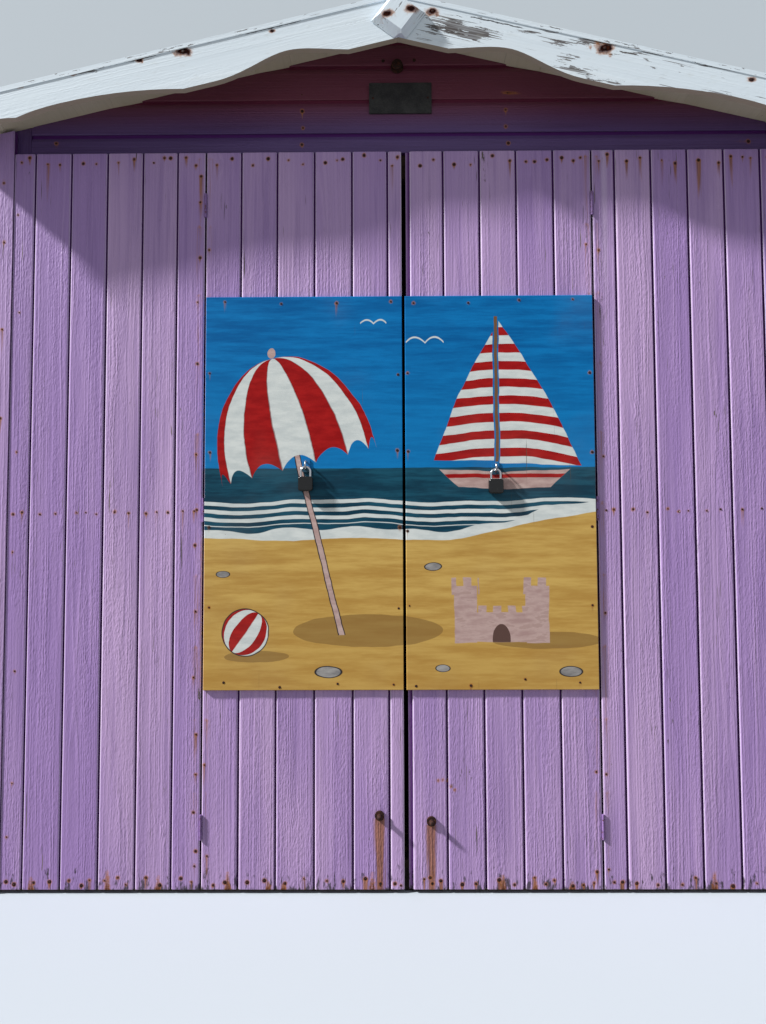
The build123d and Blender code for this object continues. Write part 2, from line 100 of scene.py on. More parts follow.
def tint(red, green, blue):
    """A colour as it shows on a screen, 0 to 255, made linear for a shader."""
    screen = np.array([red, green, blue]) / 255
    linear = np.where(screen > 0.04045, ((screen + 0.055) / 1.055) ** 2.4, screen / 12.92)
    return (*linear.tolist(), 1.0)


def mix(mask, under, over):
    """Colour over lies on colour under where the mask is 1."""
    tree = mask.socket.id_data
    made = tree.nodes.new("ShaderNodeMix")
    made.data_type = "RGBA"
    feed(made.inputs[0], mask)
    feed(made.inputs[6], under)
    feed(made.inputs[7], over)
    return made.outputs[2]


def split(place):
    """The X, Y and Z fields of a place."""
    made = place.id_data.nodes.new("ShaderNodeSeparateXYZ")
    feed(made.inputs[0], place)
    return [Field(socket) for socket in made.outputs]


def joined(x, y, z):
    """A place from three fields or numbers."""
    tree = next(part for part in (x, y, z) if isinstance(part, Field)).socket.id_data
    made = tree.nodes.new("ShaderNodeCombineXYZ")
    for port, value in zip(made.inputs, (x, y, z)):
        feed(port, value)
    return made.outputs[0]


def noise(place, scale=1.0, detail=2.0, roughness=0.5, stretch=(1, 1, 1)):
    """Cloudy noise from 0 to 1, with scale x stretch clouds to the metre along each axis."""
    tree = place.id_data
    sized = tree.nodes.new("ShaderNodeMapping")
    sized.inputs["Scale"].default_value = [scale * part for part in stretch]
    feed(sized.inputs["Vector"], place)
    made = tree.nodes.new("ShaderNodeTexNoise")
    feed(made.inputs["Vector"], sized.outputs[0])
    made.inputs["Scale"].default_value = 1.0
    made.inputs["Detail"].default_value = detail
    made.inputs["Roughness"].default_value = roughness
    return Field(made.outputs[0])


def new_group(name, given, result):
    """An empty shader group with named inputs and outputs."""
    made = bpy.data.node_groups.new(name, "ShaderNodeTree")
    kinds = {"vector": "NodeSocketVector", "number": "NodeSocketFloat", "colour": "NodeSocketColor"}
    for title, kind in given:
        made.interface.new_socket(title, in_out="INPUT", socket_type=kinds[kind])
    for title, kind in result:
        made.interface.new_socket(title, in_out="OUTPUT", socket_type=kinds[kind])
    return made, made.nodes.new("NodeGroupInput").outputs, made.nodes.new("NodeGroupOutput").inputs


def use(tree, group, **given):
    """Places a shader group in a tree and returns its outputs by name."""
    made = tree.nodes.new("ShaderNodeGroup")
    made.node_tree = group
    for title, value in given.items():
        feed(made.inputs[title], value)
    return made.outputs


def timber_grain():
    """Grain of a flat-sawn board that runs along Z.

    A ring is a shell of equal distance from the pith, r = (a^2 + d^2)^0.5, where a is the
    distance across the board from the pith, which lies every 0.24 m, and d is how deep the
    saw ran beside it, which drifts along the board. One ring is one ridge, so the ridges
    run straight at the edges and arch over the pith, and all of them waver every few
    centimetres. Noise along r makes some years wide and some narrow, about 8 mm, and some
    ridges strong and some faint. They part round each knot, and knots sit in a third of
    the cells of a pattern 0.2 by 0.6 m. Fibre is fine noise drawn out along the board, and
    streaks are the same, but wide.
    """
    group, given, result = new_group(
        "timber_grain",
        [("Place", "vector"), ("Board", "number")],
        [("Lines", "number"), ("Fibre", "number"), ("Tone", "number"), ("Streaks", "number"),
         ("Knot", "number")],
    )
    board = Field(given["Board"])
    x, y, z = split(given["Place"])
    x, y, z = x + board * 7.3, y + board * 3.1, z + board * 13.7
    cells = group.nodes.new("ShaderNodeTexVoronoi")
    cells.voronoi_dimensions = "2D"
    feed(cells.inputs["Vector"], joined(x * 5.0, z * 1.7, 0.0))
    cells.inputs["Scale"].default_value = 1.0
    knot_x, knot_z, _ = split(cells.outputs["Position"])
    chance = split(cells.outputs["Color"])[0].rise(0.66, 0.68)
    side = x - knot_x / 5.0
    up = (z - knot_z / 1.7) * 0.6
    reach = (side * side + up * up).power(0.5)
    feed(result["Knot"], chance * reach.rise(0.012, 0.007))
    swell = chance / ((reach * 60).power(3) + 1)
    place = joined(x, y, z)
    sway = (noise(place, 16, 1.0, 0.5, (1, 1, 0.12)) - 0.5) * 0.011
    sway = sway + (noise(place, 45, 1.0, 0.6, (1, 1, 0.5)) - 0.5) * 0.0036
    across = (((x + sway) / 0.24).fraction() - 0.5) * 0.24
    depth = noise(place, 1.4, 1.0, 0.4, (0.5, 0.5, 1)) * 0.05 + (y * 21).sine() * 0.008 - 0.012
    radius = (across * across + depth * depth).power(0.5)
    years = noise(joined(radius * 90, board * 31, z * 0.5), 1.0, 2.0)
    rings = radius / 0.0095 + years * 2.4 + swell
    lines = (rings * (2 * pi)).sine() * 0.5 + 0.5
    strong = noise(joined(radius * 150, board * 17 + 5, z * 0.9), 1.0, 1.0).rise(0.32, 0.68) * 0.85 + 0.15
    feed(result["Lines"], lines * lines * strong)
    feed(result["Fibre"], noise(place, 270, 1.0, 0.6, (1, 1, 0.03)))
    feed(result["Tone"], noise(place, 7, 2.0, 0.5, (1, 1, 0.15)))
    feed(result["Streaks"], noise(place, 75, 2.0, 0.6, (1, 1, 0.03)))
    return group


timber_grain = timber_grain()


def object_place(tree, turn=(0, 0, 0), mirrored=False):
    """Object coordinates, with X the same on both sides if mirrored, then turned by degrees."""
    place = tree.nodes.new("ShaderNodeTexCoord").outputs["Object"]
    if mirrored:
        x, y, z = split(place)
        place = joined(abs(x), y, z)
    turned = tree.nodes.new("ShaderNodeMapping")
    turned.inputs["Rotation"].default_value = [radians(part) for part in turn]
    feed(turned.inputs["Vector"], place)
    return turned.outputs[0]


def painted_value(tree, name):
    """A value that the mesh carries at its points."""
    made = tree.nodes.new("ShaderNodeAttribute")
    made.attribute_name = name
    return Field(made.outputs["Fac"])


def new_finish(name, turn=(0, 0, 0), mirrored=False, **constants):
    """A new material, the sockets of its Principled shader with their constant values, and
    the place that its pattern follows."""
    material = bpy.data.materials.new(name)
    material.use_nodes = True
    shader = material.node_tree.nodes["Principled BSDF"].inputs
    for title, value in constants.items():
        shader[title.replace("_", " ")].default_value = value
    return material, shader, object_place(material.node_tree, turn, mirrored)


def finished(material, colour, roughness, height, depth):
    """Gives a material its colour and roughness, and raises it by height x depth, in metres."""
    shader = material.node_tree.nodes["Principled BSDF"].inputs
    feed(shader["Base Color"], colour)
    feed(shader["Roughness"], roughness)
    made = material.node_tree.nodes.new("ShaderNodeBump")
    made.inputs["Distance"].default_value = depth
    made.inputs["Strength"].default_value = 1.0
    feed(made.inputs["Height"], height)
    feed(shader["Normal"], made.outputs[0])
    return material


def dress(material, *names):
    """Gives CAD nodes their finish, in every material slot that they have."""
    for name in names:
        for place in nodes[name].material_slots:
            place.material = material


def sawn_timber(name, pale, dark, turn=(0, 0, 0), mirrored=False):
    """Bare timber: grain, a grey bloom, dirt in the fibres, and faint marks of the saw. Where it
    shows through the gap between the two doors it is painted nearly black, as painted shade."""
    material, _, place = new_finish(name, turn, mirrored, Specular_IOR_Level=0.25)
    tree = material.node_tree
    grain = use(tree, timber_grain, Place=place, Board=painted_value(tree, "board"))
    lines, fibre, tone, knot = [Field(grain[part]) for part in ("Lines", "Fibre", "Tone", "Knot")]
    colour = mix((lines * 0.55 + fibre * 0.35).rise(0.1, 0.9), pale, dark)
    colour = mix(tone.rise(0.42, 0.75) * 0.5, colour, tint(128, 116, 100))
    colour = mix(knot * 0.85, colour, tint(74, 46, 28))
    colour = mix(noise(place, 14, 3).rise(0.55, 0.8) * 0.35, colour, tint(62, 52, 42))
    x, y, _ = split(object_place(tree))
    # Painted shade: nearly black where the timber shows through the gap between the two doors.
    grime = abs(x - 0.02).rise(0.06, 0.012) * y.rise(-1.40, -1.46)
    colour = mix(grime * 0.88, colour, tint(20, 16, 20))
    saw = (split(place)[2] * 1500 + noise(place, 30, 1) * 9).sine()
    return finished(material, colour, fibre * 0.2 + 0.7, lines * 0.3 + fibre * 0.6 + saw * 0.08, 0.0007)


pale_timber = tint(178, 140, 98)
dark_timber = tint(122, 86, 54)
upright_timber = sawn_timber("upright_timber", pale_timber, dark_timber)
cross_timber = sawn_timber("cross_timber", pale_timber, dark_timber, (0, -90, 0))
long_timber = sawn_timber("long_timber", pale_timber, dark_timber, (90, 0, 0))
roof_pitch = 13.4
roof_slope = tan(radians(roof_pitch))
roof_run = cos(radians(roof_pitch))
roof_fall = sin(radians(roof_pitch))
rafter_timber = sawn_timber("rafter_timber", pale_timber, dark_timber, (0, -90 - roof_pitch, 0), True)
brace_lean = 27
brace_timber = sawn_timber("brace_timber", pale_timber, dark_timber, (0, brace_lean, 0), True)
bearer_timber = sawn_timber("bearer_timber", tint(120, 104, 84), tint(74, 60, 46), (0, -90, 0))
dress(upright_timber, "wall_posts", "door_posts", "gable_studs")
dress(cross_timber, "panel_rails", "tie_beams", "left_door_ledges", "right_door_ledges")
dress(long_timber, "sole_plates", "wall_plates", "ridge_board")
dress(rafter_timber, "rafters")
dress(brace_timber, "left_door_braces", "right_door_braces")
dress(bearer_timber, "floor_bearers")


# Floor boards
# Planed softwood boards laid from the front to the back over the bearers.
# Each has a tongue and a groove, so only a thin line shows between two of them.
floor_low, floor_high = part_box("floor")
floor_board_width = 0.12
floor_joint = 0.0015


def plank(place, across, along, thickness, recess, columns=(), rows=(), trim=None, cup=0.0004):
    """One board as a closed shell.

    The face is a grid of columns over the board and rows along it. Its depth is
    recess(distance from the first edge, width), and a cup in metres that hollows its
    middle, as 4 s (1 - s), or where it is negative drops its edges. It is eased 1 mm at
    both ends. With the two back corners a row makes a ring, rings make the tube, and
    the first and last ring close it. trim(u) gives where the board starts and stops at
    u: rows in its middle stay, and the rest are drawn in evenly to those ends.
    place(u, v, d) lays it in the hut.
    """
    width = across[1] - across[0]
    inner = [c for c in np.round(np.ravel(columns), 4) if across[0] + 0.0006 < c < across[1] - 0.0006]
    cuts = [r for r in np.round(np.ravel(rows), 4) if along[0] + 0.004 < r < along[1] - 0.004]
    u = np.unique(np.r_[across, inner])
    v = np.unique(np.r_[along, along[0] + 0.0015, along[1] - 0.0015, cuts])
    grid_u, grid_v = np.meshgrid(u, v)
    share = (grid_u - across[0]) / width
    hollow = 4 * share * (1 - share) - (cup < 0)
    uneven = 1 + 0.3 * np.sin(grid_v * 2.1 + cup * 9000)
    depth = -recess(grid_u - across[0], width) - cup * hollow * uneven
    depth[[0, -1]] -= 0.001
    if trim is not None:
        low, high = trim(grid_u)
        start = low.max() * 0.9 + high.min() * 0.1
        stop = low.max() * 0.1 + high.min() * 0.9
        first = start - (start - grid_v) / (start - along[0]) * (start - low)
        last = stop + (grid_v - stop) / (along[1] - stop) * (high - stop)
        grid_v = np.where(grid_v < start, first, np.where(grid_v > stop, last, grid_v))
    back = np.full(len(v), -thickness)
    ring_u = np.c_[grid_u, grid_u[:, -1], grid_u[:, 0]]
    ring_v = np.c_[grid_v, grid_v[:, -1], grid_v[:, 0]]
    ring_d = np.c_[depth, back, back]
    points = np.stack(np.broadcast_arrays(*place(ring_u, ring_v, ring_d)), -1).reshape(-1, 3)
    count = len(u) + 2
    index = np.arange(len(v) * count).reshape(len(v), count)
    after = np.roll(index, -1, axis=1)
    quads = np.stack([index[:-1], after[:-1], after[1:], index[1:]], -1).reshape(-1, 4)
    inside = np.tile(np.arange(count) == count - 2, len(v) - 1).astype(int)
    ends = [index[-1].tolist(), index[0][::-1].tolist()]
    middle = np.array([np.mean(across), np.mean(along), -thickness / 2])
    steps = np.array([np.array(place(*(middle + step))) for step in np.eye(3) * 0.001])
    if np.linalg.det(steps - np.array(place(*middle))) < 0:
        quads = quads[:, ::-1]
        ends = [end[::-1] for end in ends]
    sunk = np.c_[-depth, np.full((len(v), 2), thickness)].ravel()
    return points, quads, ends, inside, sunk


def new_mesh(name, points, faces, **values):
    """A piece from points and faces, with a value of each name at every point."""
    mesh = bpy.data.meshes.new(name)
    mesh.from_pydata(points.tolist(), [], faces)
    for title, value in values.items():
        layer = mesh.attributes.new(title, "FLOAT", "POINT")
        layer.data.foreach_set("value", np.ascontiguousarray(value, dtype=np.float32))
    mesh.shade_smooth()
    mesh.set_sharp_from_angle(angle=radians(24))
    piece = bpy.data.objects.new(name, mesh)
    bpy.context.scene.collection.objects.link(piece)
    return piece


def boards(name, shells, outside, inside, body, seed, nails=None, level=0):
    """Joins planks into one piece. Each has its own board value, and its points say how
    far they are sunk in a joint and carry the rust and the runs of nails near them. level
    is the axis that runs level along the wall."""
    draw = np.random.default_rng(seed)
    points, faces, backs, board, start = [], [], [], [], 0
    for shell_points, quads, ends, back, _ in shells:
        points.append(shell_points)
        faces += (quads + start).tolist() + [[start + corner for corner in end] for end in ends]
        backs += back.tolist() + [0, 0]
        board.append(np.full(len(shell_points), draw.random()))
        start += len(shell_points)
    points = np.concatenate(points)
    rust, run = stains(points, nails, level)
    sunk = np.concatenate([shell[-1] for shell in shells])
    piece = new_mesh(name, points, faces, board=np.concatenate(board), sunk=sunk, rust=rust, run=run)
    piece.data.materials.append(outside)
    piece.data.materials.append(inside)
    piece.data.polygons.foreach_set("material_index", np.array(backs, dtype=np.int32))
    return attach(piece, body)


def stains(points, nails, level):
    """Rust round nails and its run below them, at every point.

    Rust is strength x exp(-(distance / 6 mm)^2). A run is strength x exp(-(sideways /
    w)^2), where w is 3 mm and a fortieth of its length, and fades evenly to nothing
    over its length. A nail is its place along the wall, its height, its strength, and
    the length of its run.
    """
    if nails is None or not len(nails):
        return np.zeros(len(points)), np.zeros(len(points))
    nails = np.asarray(nails)
    sideways = points[:, level, None] - nails[:, 0]
    above = points[:, 2, None] - nails[:, 1]
    rust = nails[:, 2] * np.exp(-(sideways**2 + above**2) / 0.006**2)
    left = np.where(above < 0.002, 1 + above / np.maximum(nails[:, 3], 0.001), 0)
    run_width = 0.003 + nails[:, 3] / 40
    run = nails[:, 2] * np.exp(-((sideways / run_width) ** 2)) * np.clip(left, 0, 1)
    return rust.max(axis=1), run.max(axis=1)


def evenly(low, high, step):
    """Edges of equal boards between two limits, each board about a step wide."""
    return np.linspace(low, high, max(round((high - low) / step), 1) + 1)


def eased(size, steepness=1.0):
    """A flat board that falls away at both edges: (size - distance to the nearer edge) x
    steepness deep, and nothing where that is below 0."""

    def recess(distance, width):
        return np.clip(size - np.minimum(distance, width - distance), 0, None) * steepness

    return recess


plain_edge = eased(0.001)


def floor_place(u, v, d):
    return u, v, floor_high.z + d


floor_edges = evenly(floor_low.x, floor_high.x, floor_board_width)
floor_shells = [
    plank(
        floor_place,
        (left + floor_joint / 2, right - floor_joint / 2),
        (floor_low.y, floor_high.y),
        floor_high.z - floor_low.z,
        plain_edge,
        columns=(left + 0.002, right - 0.002),
    )
    for left, right in zip(floor_edges, floor_edges[1:])
]
floor_timber = sawn_timber("floor_timber", tint(168, 132, 92), tint(112, 80, 52), (90, 0, 0))
floor_boards = boards("floor_boards", floor_shells, floor_timber, floor_timber, "hut", 1)
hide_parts("floor")


# Lilac paint
# Gloss paint, brushed on many years ago and gone chalky. The grain has risen through it,
# it has split along the grain, and each board has faded by its own amount.


def rust_stain():
    """Dark rust where the rust value is over 1, a halo round it that turns from brown to
    orange, and brown streaks where the run value is high, even in the middle of a broad
    one. Noise, drawn out down the wall for the streaks, breaks the edges."""
    group, given, result = new_group(
        "rust_stain",
        [("Color", "colour"), ("Place", "vector"), ("Rust", "number"), ("Run", "number")],
        [("Color", "colour"), ("Core", "number")],
    )
    rust, run = Field(given["Rust"]), Field(given["Run"])
    spots = noise(given["Place"], 125, 4, 0.65)
    streaks = noise(given["Place"], 210, 2, 0.6, (1, 1, 0.03))
    halo = (rust + (spots - 0.5) * 0.9).rise(0.05, 0.9) * rust.rise(0.02, 0.25)
    core = (rust + (spots - 0.5) * 0.6).rise(0.95, 1.15)
    uneven = (streaks - 0.5) * (-run + 2.0).least(1.7).most(0.4)
    drip = (run + uneven).rise(0.1, 1.0) * run.rise(0.03, 0.25)
    brown = mix(streaks.rise(0.35, 0.6), tint(108, 62, 44), tint(158, 104, 70))
    colour = mix(drip * 0.88, given["Color"], brown)
    colour = mix(halo * 0.88, colour, mix(rust.rise(0.4, 1.0), tint(182, 116, 54), tint(84, 40, 24)))
    colour = mix(core, colour, mix(spots.rise(0.4, 0.75), tint(30, 16, 16), tint(70, 34, 22)))
    feed(result["Color"], colour)
    feed(result["Core"], core)
    return group


def weathered_paint():
    """Paint on timber. It is faded by board and by patches, thin and pale on raised fibres,
    darker between them with dirt and painted shade, crackled, split in fine cracks, and
    flaked off to grey wood where wear allows. Height runs from 0 in bare cracks to about 1
    on full paint, and Ridges is the height of the grain without them."""
    group, given, result = new_group(
        "weathered_paint",
        [("Place", "vector"), ("Board", "number"), ("Paint", "colour"), ("Faded", "colour"),
         ("Groove", "colour"), ("Wood", "colour"), ("Cracks", "number"), ("Flakes", "number")],
        [("Color", "colour"), ("Roughness", "number"), ("Height", "number"), ("Ridges", "number")],
    )
    place, board = given["Place"], Field(given["Board"])
    grain = use(group, timber_grain, Place=place, Board=board)
    lines, fibre, tone, streaks, knot = [
        Field(grain[part]) for part in ("Lines", "Fibre", "Tone", "Streaks", "Knot")
    ]
    fade = tone + streaks * 0.25 + board * 0.5 - 0.55
    colour = mix(fade.rise(0, 0.75), given["Paint"], given["Faded"])
    worn = noise(place, 15, 3, 0.6, (1, 1, 0.12)).rise(0.3, 0.7)
    colour = mix(lines.rise(0.35, 1.0) * worn * 0.3, colour, given["Faded"])
    # Darker between raised grain: dirt, and painted shade in the hollows.
    colour = mix(lines.rise(0.2, 0.0) * 0.10, colour, given["Groove"])
    colour = mix(tone.rise(0.6, 0.3) * (board * 5.7).fraction() * 0.18, colour, given["Groove"])
    colour = mix(streaks.rise(0.48, 0.34) * 0.2, colour, given["Groove"])
    patches = noise(place, 9, 2, 0.5, (1, 1, 0.35))
    splits = noise(place, 230, 2, 0.5, (1, 1, 0.03))
    crack = (splits + patches * 0.4 + Field(given["Cracks"]) * 0.3).rise(1.06, 1.12)
    flaking = noise(place, 140, 4, 0.65, (1, 1, 0.14))
    flake = (flaking + patches * 0.45 + Field(given["Flakes"]) * 0.3).rise(1.0, 1.02)
    bare = crack.most(flake)
    wood = mix(fibre.rise(0.35, 0.7), given["Wood"], tint(76, 70, 68))
    colour = mix(bare, colour, wood)
    feed(result["Color"], colour)
    feed(result["Roughness"], (bare * 0.3 + fibre * 0.15 + 0.45).least(0.95))
    crackle = noise(place, 230, 1, 0.6, (1, 1, 0.3))
    ridges = lines * (worn * 0.6 + 0.3) * 0.7 + fibre * 0.2 + streaks * 0.4 + crackle * (worn + 0.25)
    feed(result["Height"], (ridges + 0.2) * (-bare * 0.6 + 1) + knot * 0.25)
    feed(result["Ridges"], ridges + knot * 0.25)
    return group


rust_stain = rust_stain()
weathered_paint = weathered_paint()


def painted_timber(name, paint, faded, groove, wood, cracks, flakes, turn=(0, 0, 0), mirrored=False,
                   foot=None, depth=0.0012, gloss=0.35, upper=None, rubbed=0.0):
    """Weathered paint with the rust of its nails. foot is the height below which mould
    starts, upper is a colour that the paint turns to between two heights, and rubbed is
    how pale the bevels are painted: rubbed paint with a painted highlight. The bottom of a
    joint is painted dark with dirt and painted shade."""
    material, shader, place = new_finish(name, turn, mirrored)
    tree = material.node_tree
    paint = use(
        tree, weathered_paint, Place=place, Board=painted_value(tree, "board"), Paint=paint,
        Faded=faded, Groove=groove, Wood=wood, Cracks=cracks, Flakes=flakes,
    )
    sunk = painted_value(tree, "sunk")
    # Bevels painted pale: paint rubbed thin, and a painted highlight where a bevel catches the light.
    edge = sunk.rise(0.0011, 0.0016) * sunk.rise(0.0038, 0.0028)
    colour = mix(edge * rubbed, paint["Color"], tint(232, 218, 242))
    # Painted shade: the bottom of a joint is painted dark purple, with its dirt, and loses its gloss.
    dirt = sunk.rise(0.0040, 0.0065)
    colour = mix(dirt * 0.95, colour, tint(88, 42, 112))
    feed(shader["Specular IOR Level"], (-dirt + 1) * gloss)
    upright = object_place(tree)
    if upper:
        turned, low, high = upper
        colour = mix(split(upright)[2].rise(low, high) * 0.8, colour, turned)
    if foot:
        mould = noise(upright, 75, 4, 0.65, (1, 1, 0.3))
        height = split(upright)[2]
        damp = (mould - height / foot * 0.35).rise(0.45, 0.56) * 0.85
        colour = mix(damp, colour, mix(mould.rise(0.4, 0.7), tint(80, 72, 78), tint(42, 42, 38)))
    stain = use(
        tree, rust_stain, Color=colour, Place=upright,
        Rust=painted_value(tree, "rust"), Run=painted_value(tree, "run"),
    )
    roughness = Field(paint["Roughness"]).most(Field(stain["Core"]) * 0.9)
    return finished(material, stain["Color"], roughness, paint["Height"], depth)


lilac = tint(167, 136, 197)
faded_lilac = tint(196, 166, 212)
lilac_groove = tint(116, 90, 148)
grey_wood = tint(118, 106, 96)
lilacs = (lilac, faded_lilac, lilac_groove, grey_wood)
board_paint = painted_timber("board_paint", *lilacs, 0.4, 0.05, foot=0.16, depth=0.0015, rubbed=0.55)
wall_paint = painted_timber("wall_paint", *lilacs, 0.3, 0.1, (90, 0, 0), foot=0.15)
rear_paint = painted_timber("rear_paint", *lilacs, 0.3, 0.1, (0, -90, 0), foot=0.15)
dress(board_paint, "corner_boards")


# Nails of the cladding
# Round wire nails with low domed heads, driven flush and gone rusty.
# Each head is the same small dome, set at its place in the wall.


def rusty_iron():
    """Brown rust with orange bloom in patches, pitted all over."""
    material, _, place = new_finish("rusty_iron", Specular_IOR_Level=0.3)
    bloom = noise(place, 190, 3, 0.6)
    pits = noise(place, 700, 2, 0.6)
    colour = mix(bloom.rise(0.46, 0.8), tint(42, 24, 20), tint(108, 58, 34))
    colour = mix(pits.rise(0.6, 0.8) * 0.6, colour, tint(30, 20, 18))
    return finished(material, colour, bloom * 0.3 + 0.6, pits * 0.6 + bloom, 0.0008)


rusty_iron = rusty_iron()


def on_face(nails, face, level=0):
    """Places of nails in a wall: level is the axis that runs level along it."""
    flat = np.full(len(nails), face)
    return np.c_[flat, nails[:, :2]] if level else np.c_[nails[:, 0], flat, nails[:, 1]]


def nail_heads(name, places, out=(0, -1, 0), body="hut", radius=0.0026, proud=0.0009, seed=5,
               material=rusty_iron):
    """Heads turned from one profile: at ring k the radius is radius x 1, 1, 0.7 and the
    height is -1 mm, 0.4 x proud, proud. Each head has its own size, from 0.7 to 1.25, and
    is turned by its own share of a step. out is the way they face."""
    rings, sides = 3, 10
    draw = np.random.default_rng(seed)
    places = np.asarray(places, dtype=float)
    out = np.array(out, dtype=float)
    side = np.cross(out, (0, 0, 1)) if abs(out[2]) < 0.9 else np.array([1.0, 0, 0])
    side /= np.linalg.norm(side)
    up = np.cross(side, out)
    size = draw.uniform(0.7, 1.25, len(places))[:, None, None]
    turn = np.arange(sides) * 2 * pi / sides + draw.uniform(0, 1, len(places))[:, None, None]
    reach = radius * np.array([1, 1, 0.7])[None, :, None] * size
    height = np.array([-0.001, proud * 0.4, proud])[None, :, None]
    points = (
        places[:, None, None, :]
        + (reach * np.cos(turn))[..., None] * side
        + (reach * np.sin(turn))[..., None] * up
        + np.broadcast_to(height, turn.shape[:1] + (rings, sides))[..., None] * out
    ).reshape(-1, 3)
    index = np.arange(len(places) * rings * sides).reshape(-1, rings, sides)
    after = np.roll(index, -1, axis=2)
    around = np.stack([index[:, :-1], after[:, :-1], after[:, 1:], index[:, 1:]], -1).reshape(-1, 4)
    if np.dot(np.cross(side, up), out) < 0:
        around = around[:, ::-1]
        caps = index[:, 2, ::-1].tolist() + index[:, 0].tolist()
    else:
        caps = index[:, 2].tolist() + index[:, 0, ::-1].tolist()
    piece = new_mesh(name, points, around.tolist() + caps)
    piece.data.materials.append(material)
    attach(piece, body)


near = np.array([-9, -6, -3.5, -1.5, 1.5, 3.5, 6, 9]) / 1000
below = -np.array([13, 20, 30, 45, 65, 90, 120]) / 1000
line_step = 0.0025


def around_nails(places, steps):
    """Lines of the grid close to nails, so that their rust has a fine outline. They lie on
    whole steps of 2.5 mm, so that the lines of nails side by side fall together."""
    return np.unique(np.round((np.asarray(places)[:, None] + steps) / line_step)) * line_step


# Side walls
# Shiplap boards laid level, the lowest just clear of the ground. The head of each is
# scooped out below the board that laps it, and each is nailed to every post and stud.
course_step = 0.112
scoop_height = 0.026
scoop_depth = 0.0075
lap_press = 0.0003
nail_rise = 0.028
column_step = 0.014


def shiplap(distance, width):
    """A flat face with a round scoop below its upper edge: the recess grows as the sine of
    the way up the scoop, to the power 1.5. The lower edge is eased 1.5 mm."""
    up = np.clip((distance - (width - scoop_height)) / scoop_height, 0, 1)
    return scoop_depth * np.sin(up * pi / 2) ** 1.5 + np.clip(0.0015 - distance, 0, None)


def shiplap_columns(low, high):
    """Grid lines up one board, close together in its scoop."""
    scoop = np.linspace(high - scoop_height, high, 7)
    return np.r_[low + 0.0015, np.arange(low + column_step, high - scoop_height, column_step), scoop]


def laid_level(face, out):
    """A board that lies level along X in a wall: u goes up, v along, and d out from the face."""
    return lambda u, v, d: (v, face + out * d, u)


def cut_to_slope(limit):
    """Both ends of a level board, at the slope of the roof or at a limit, whichever is nearer."""
    return lambda height: (-half_width(height, limit), half_width(height, limit))


def shiplap_boards(place, courses, span, thickness, nails, rows, trim=None):
    """A board from each course to the next, laid level over a span of the wall."""
    return [
        plank(
            place, (foot - lap_press, head + lap_press), span, thickness, shiplap,
            np.r_[shiplap_columns(foot, head), around_nails(nails[:, 1], near)], rows, trim,
        )
        for foot, head in zip(courses, courses[1:])
    ]


def wall_nails(places, courses, draw):
    """One nail near the lower edge of each board at each upright, with its rust."""
    rise, along = np.meshgrid([low + nail_rise for low in courses[:-1]], places, indexing="ij")
    count = rise.size
    return np.c_[
        along.ravel() + draw.normal(0, 0.003, count),
        rise.ravel() + draw.normal(0, 0.003, count),
        draw.choice([0.5, 0.75, 1.0], count),
        draw.uniform(0.0, 1.0, count) ** 3 * 0.12,
    ]


post_low, post_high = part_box("wall_posts")
side_uprights = np.linspace(post_low.y + 0.035, post_high.y - 0.035, 5)
for side, name in ((-1, "left_wall"), (1, "right_wall")):
    low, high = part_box(name)
    outer = high.x if side > 0 else low.x
    thickness = high.x - low.x
    draw = np.random.default_rng(20 + side)
    courses = evenly(low.z, high.z - thickness * roof_slope, course_step)
    nails = wall_nails(side_uprights, courses, draw)

    def wall_place(u, v, d, outer=outer, side=side):
        return outer + side * d, v, u

    rows = np.r_[np.arange(low.y, high.y, 0.12), around_nails(side_uprights, near * 1.5)]
    shells = shiplap_boards(wall_place, courses, (low.y, high.y), thickness, nails, rows)
    wall = boards(
        name + "_boards", shells, wall_paint, long_timber, "hut", 30 + side, nails, 1
    )
    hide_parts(name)
    nail_heads(name + "_nails", on_face(nails, outer, 1), (side, 0, 0))


# Rear wall
# The same shiplap across the back of the hut, up into the gable, where the ends of the
# boards are cut to the slope of the roof.
rear_low, rear_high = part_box("rear_wall")
ridge_height = rear_high.z


def half_width(height, limit):
    """Half the width of an end wall at a height, below the slope of the roof."""
    return np.minimum(limit, (ridge_height - height) / roof_slope)


rear_draw = np.random.default_rng(41)
rear_courses = evenly(rear_low.z, ridge_height - 0.004, course_step)
rear_uprights = np.array([-1.22, -0.6, 0.0, 0.6, 1.22])
rear_nails = wall_nails(rear_uprights, rear_courses, rear_draw)
rear_nails = rear_nails[np.abs(rear_nails[:, 0]) < half_width(rear_nails[:, 1], 2) - 0.05]
rear_rows = np.r_[np.arange(rear_low.x, rear_high.x, 0.12), around_nails(rear_uprights, near * 1.5)]
rear_shells = shiplap_boards(
    laid_level(rear_high.y, 1), rear_courses, (rear_low.x, rear_high.x), rear_high.y - rear_low.y,
    rear_nails, rear_rows, cut_to_slope(rear_high.x),
)
rear_wall = boards(
    "rear_wall_boards", rear_shells, rear_paint, cross_timber, "hut", 42, rear_nails
)
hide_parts("rear_wall")
nail_heads("rear_wall_nails", on_face(rear_nails, rear_high.y), (0, 1, 0))


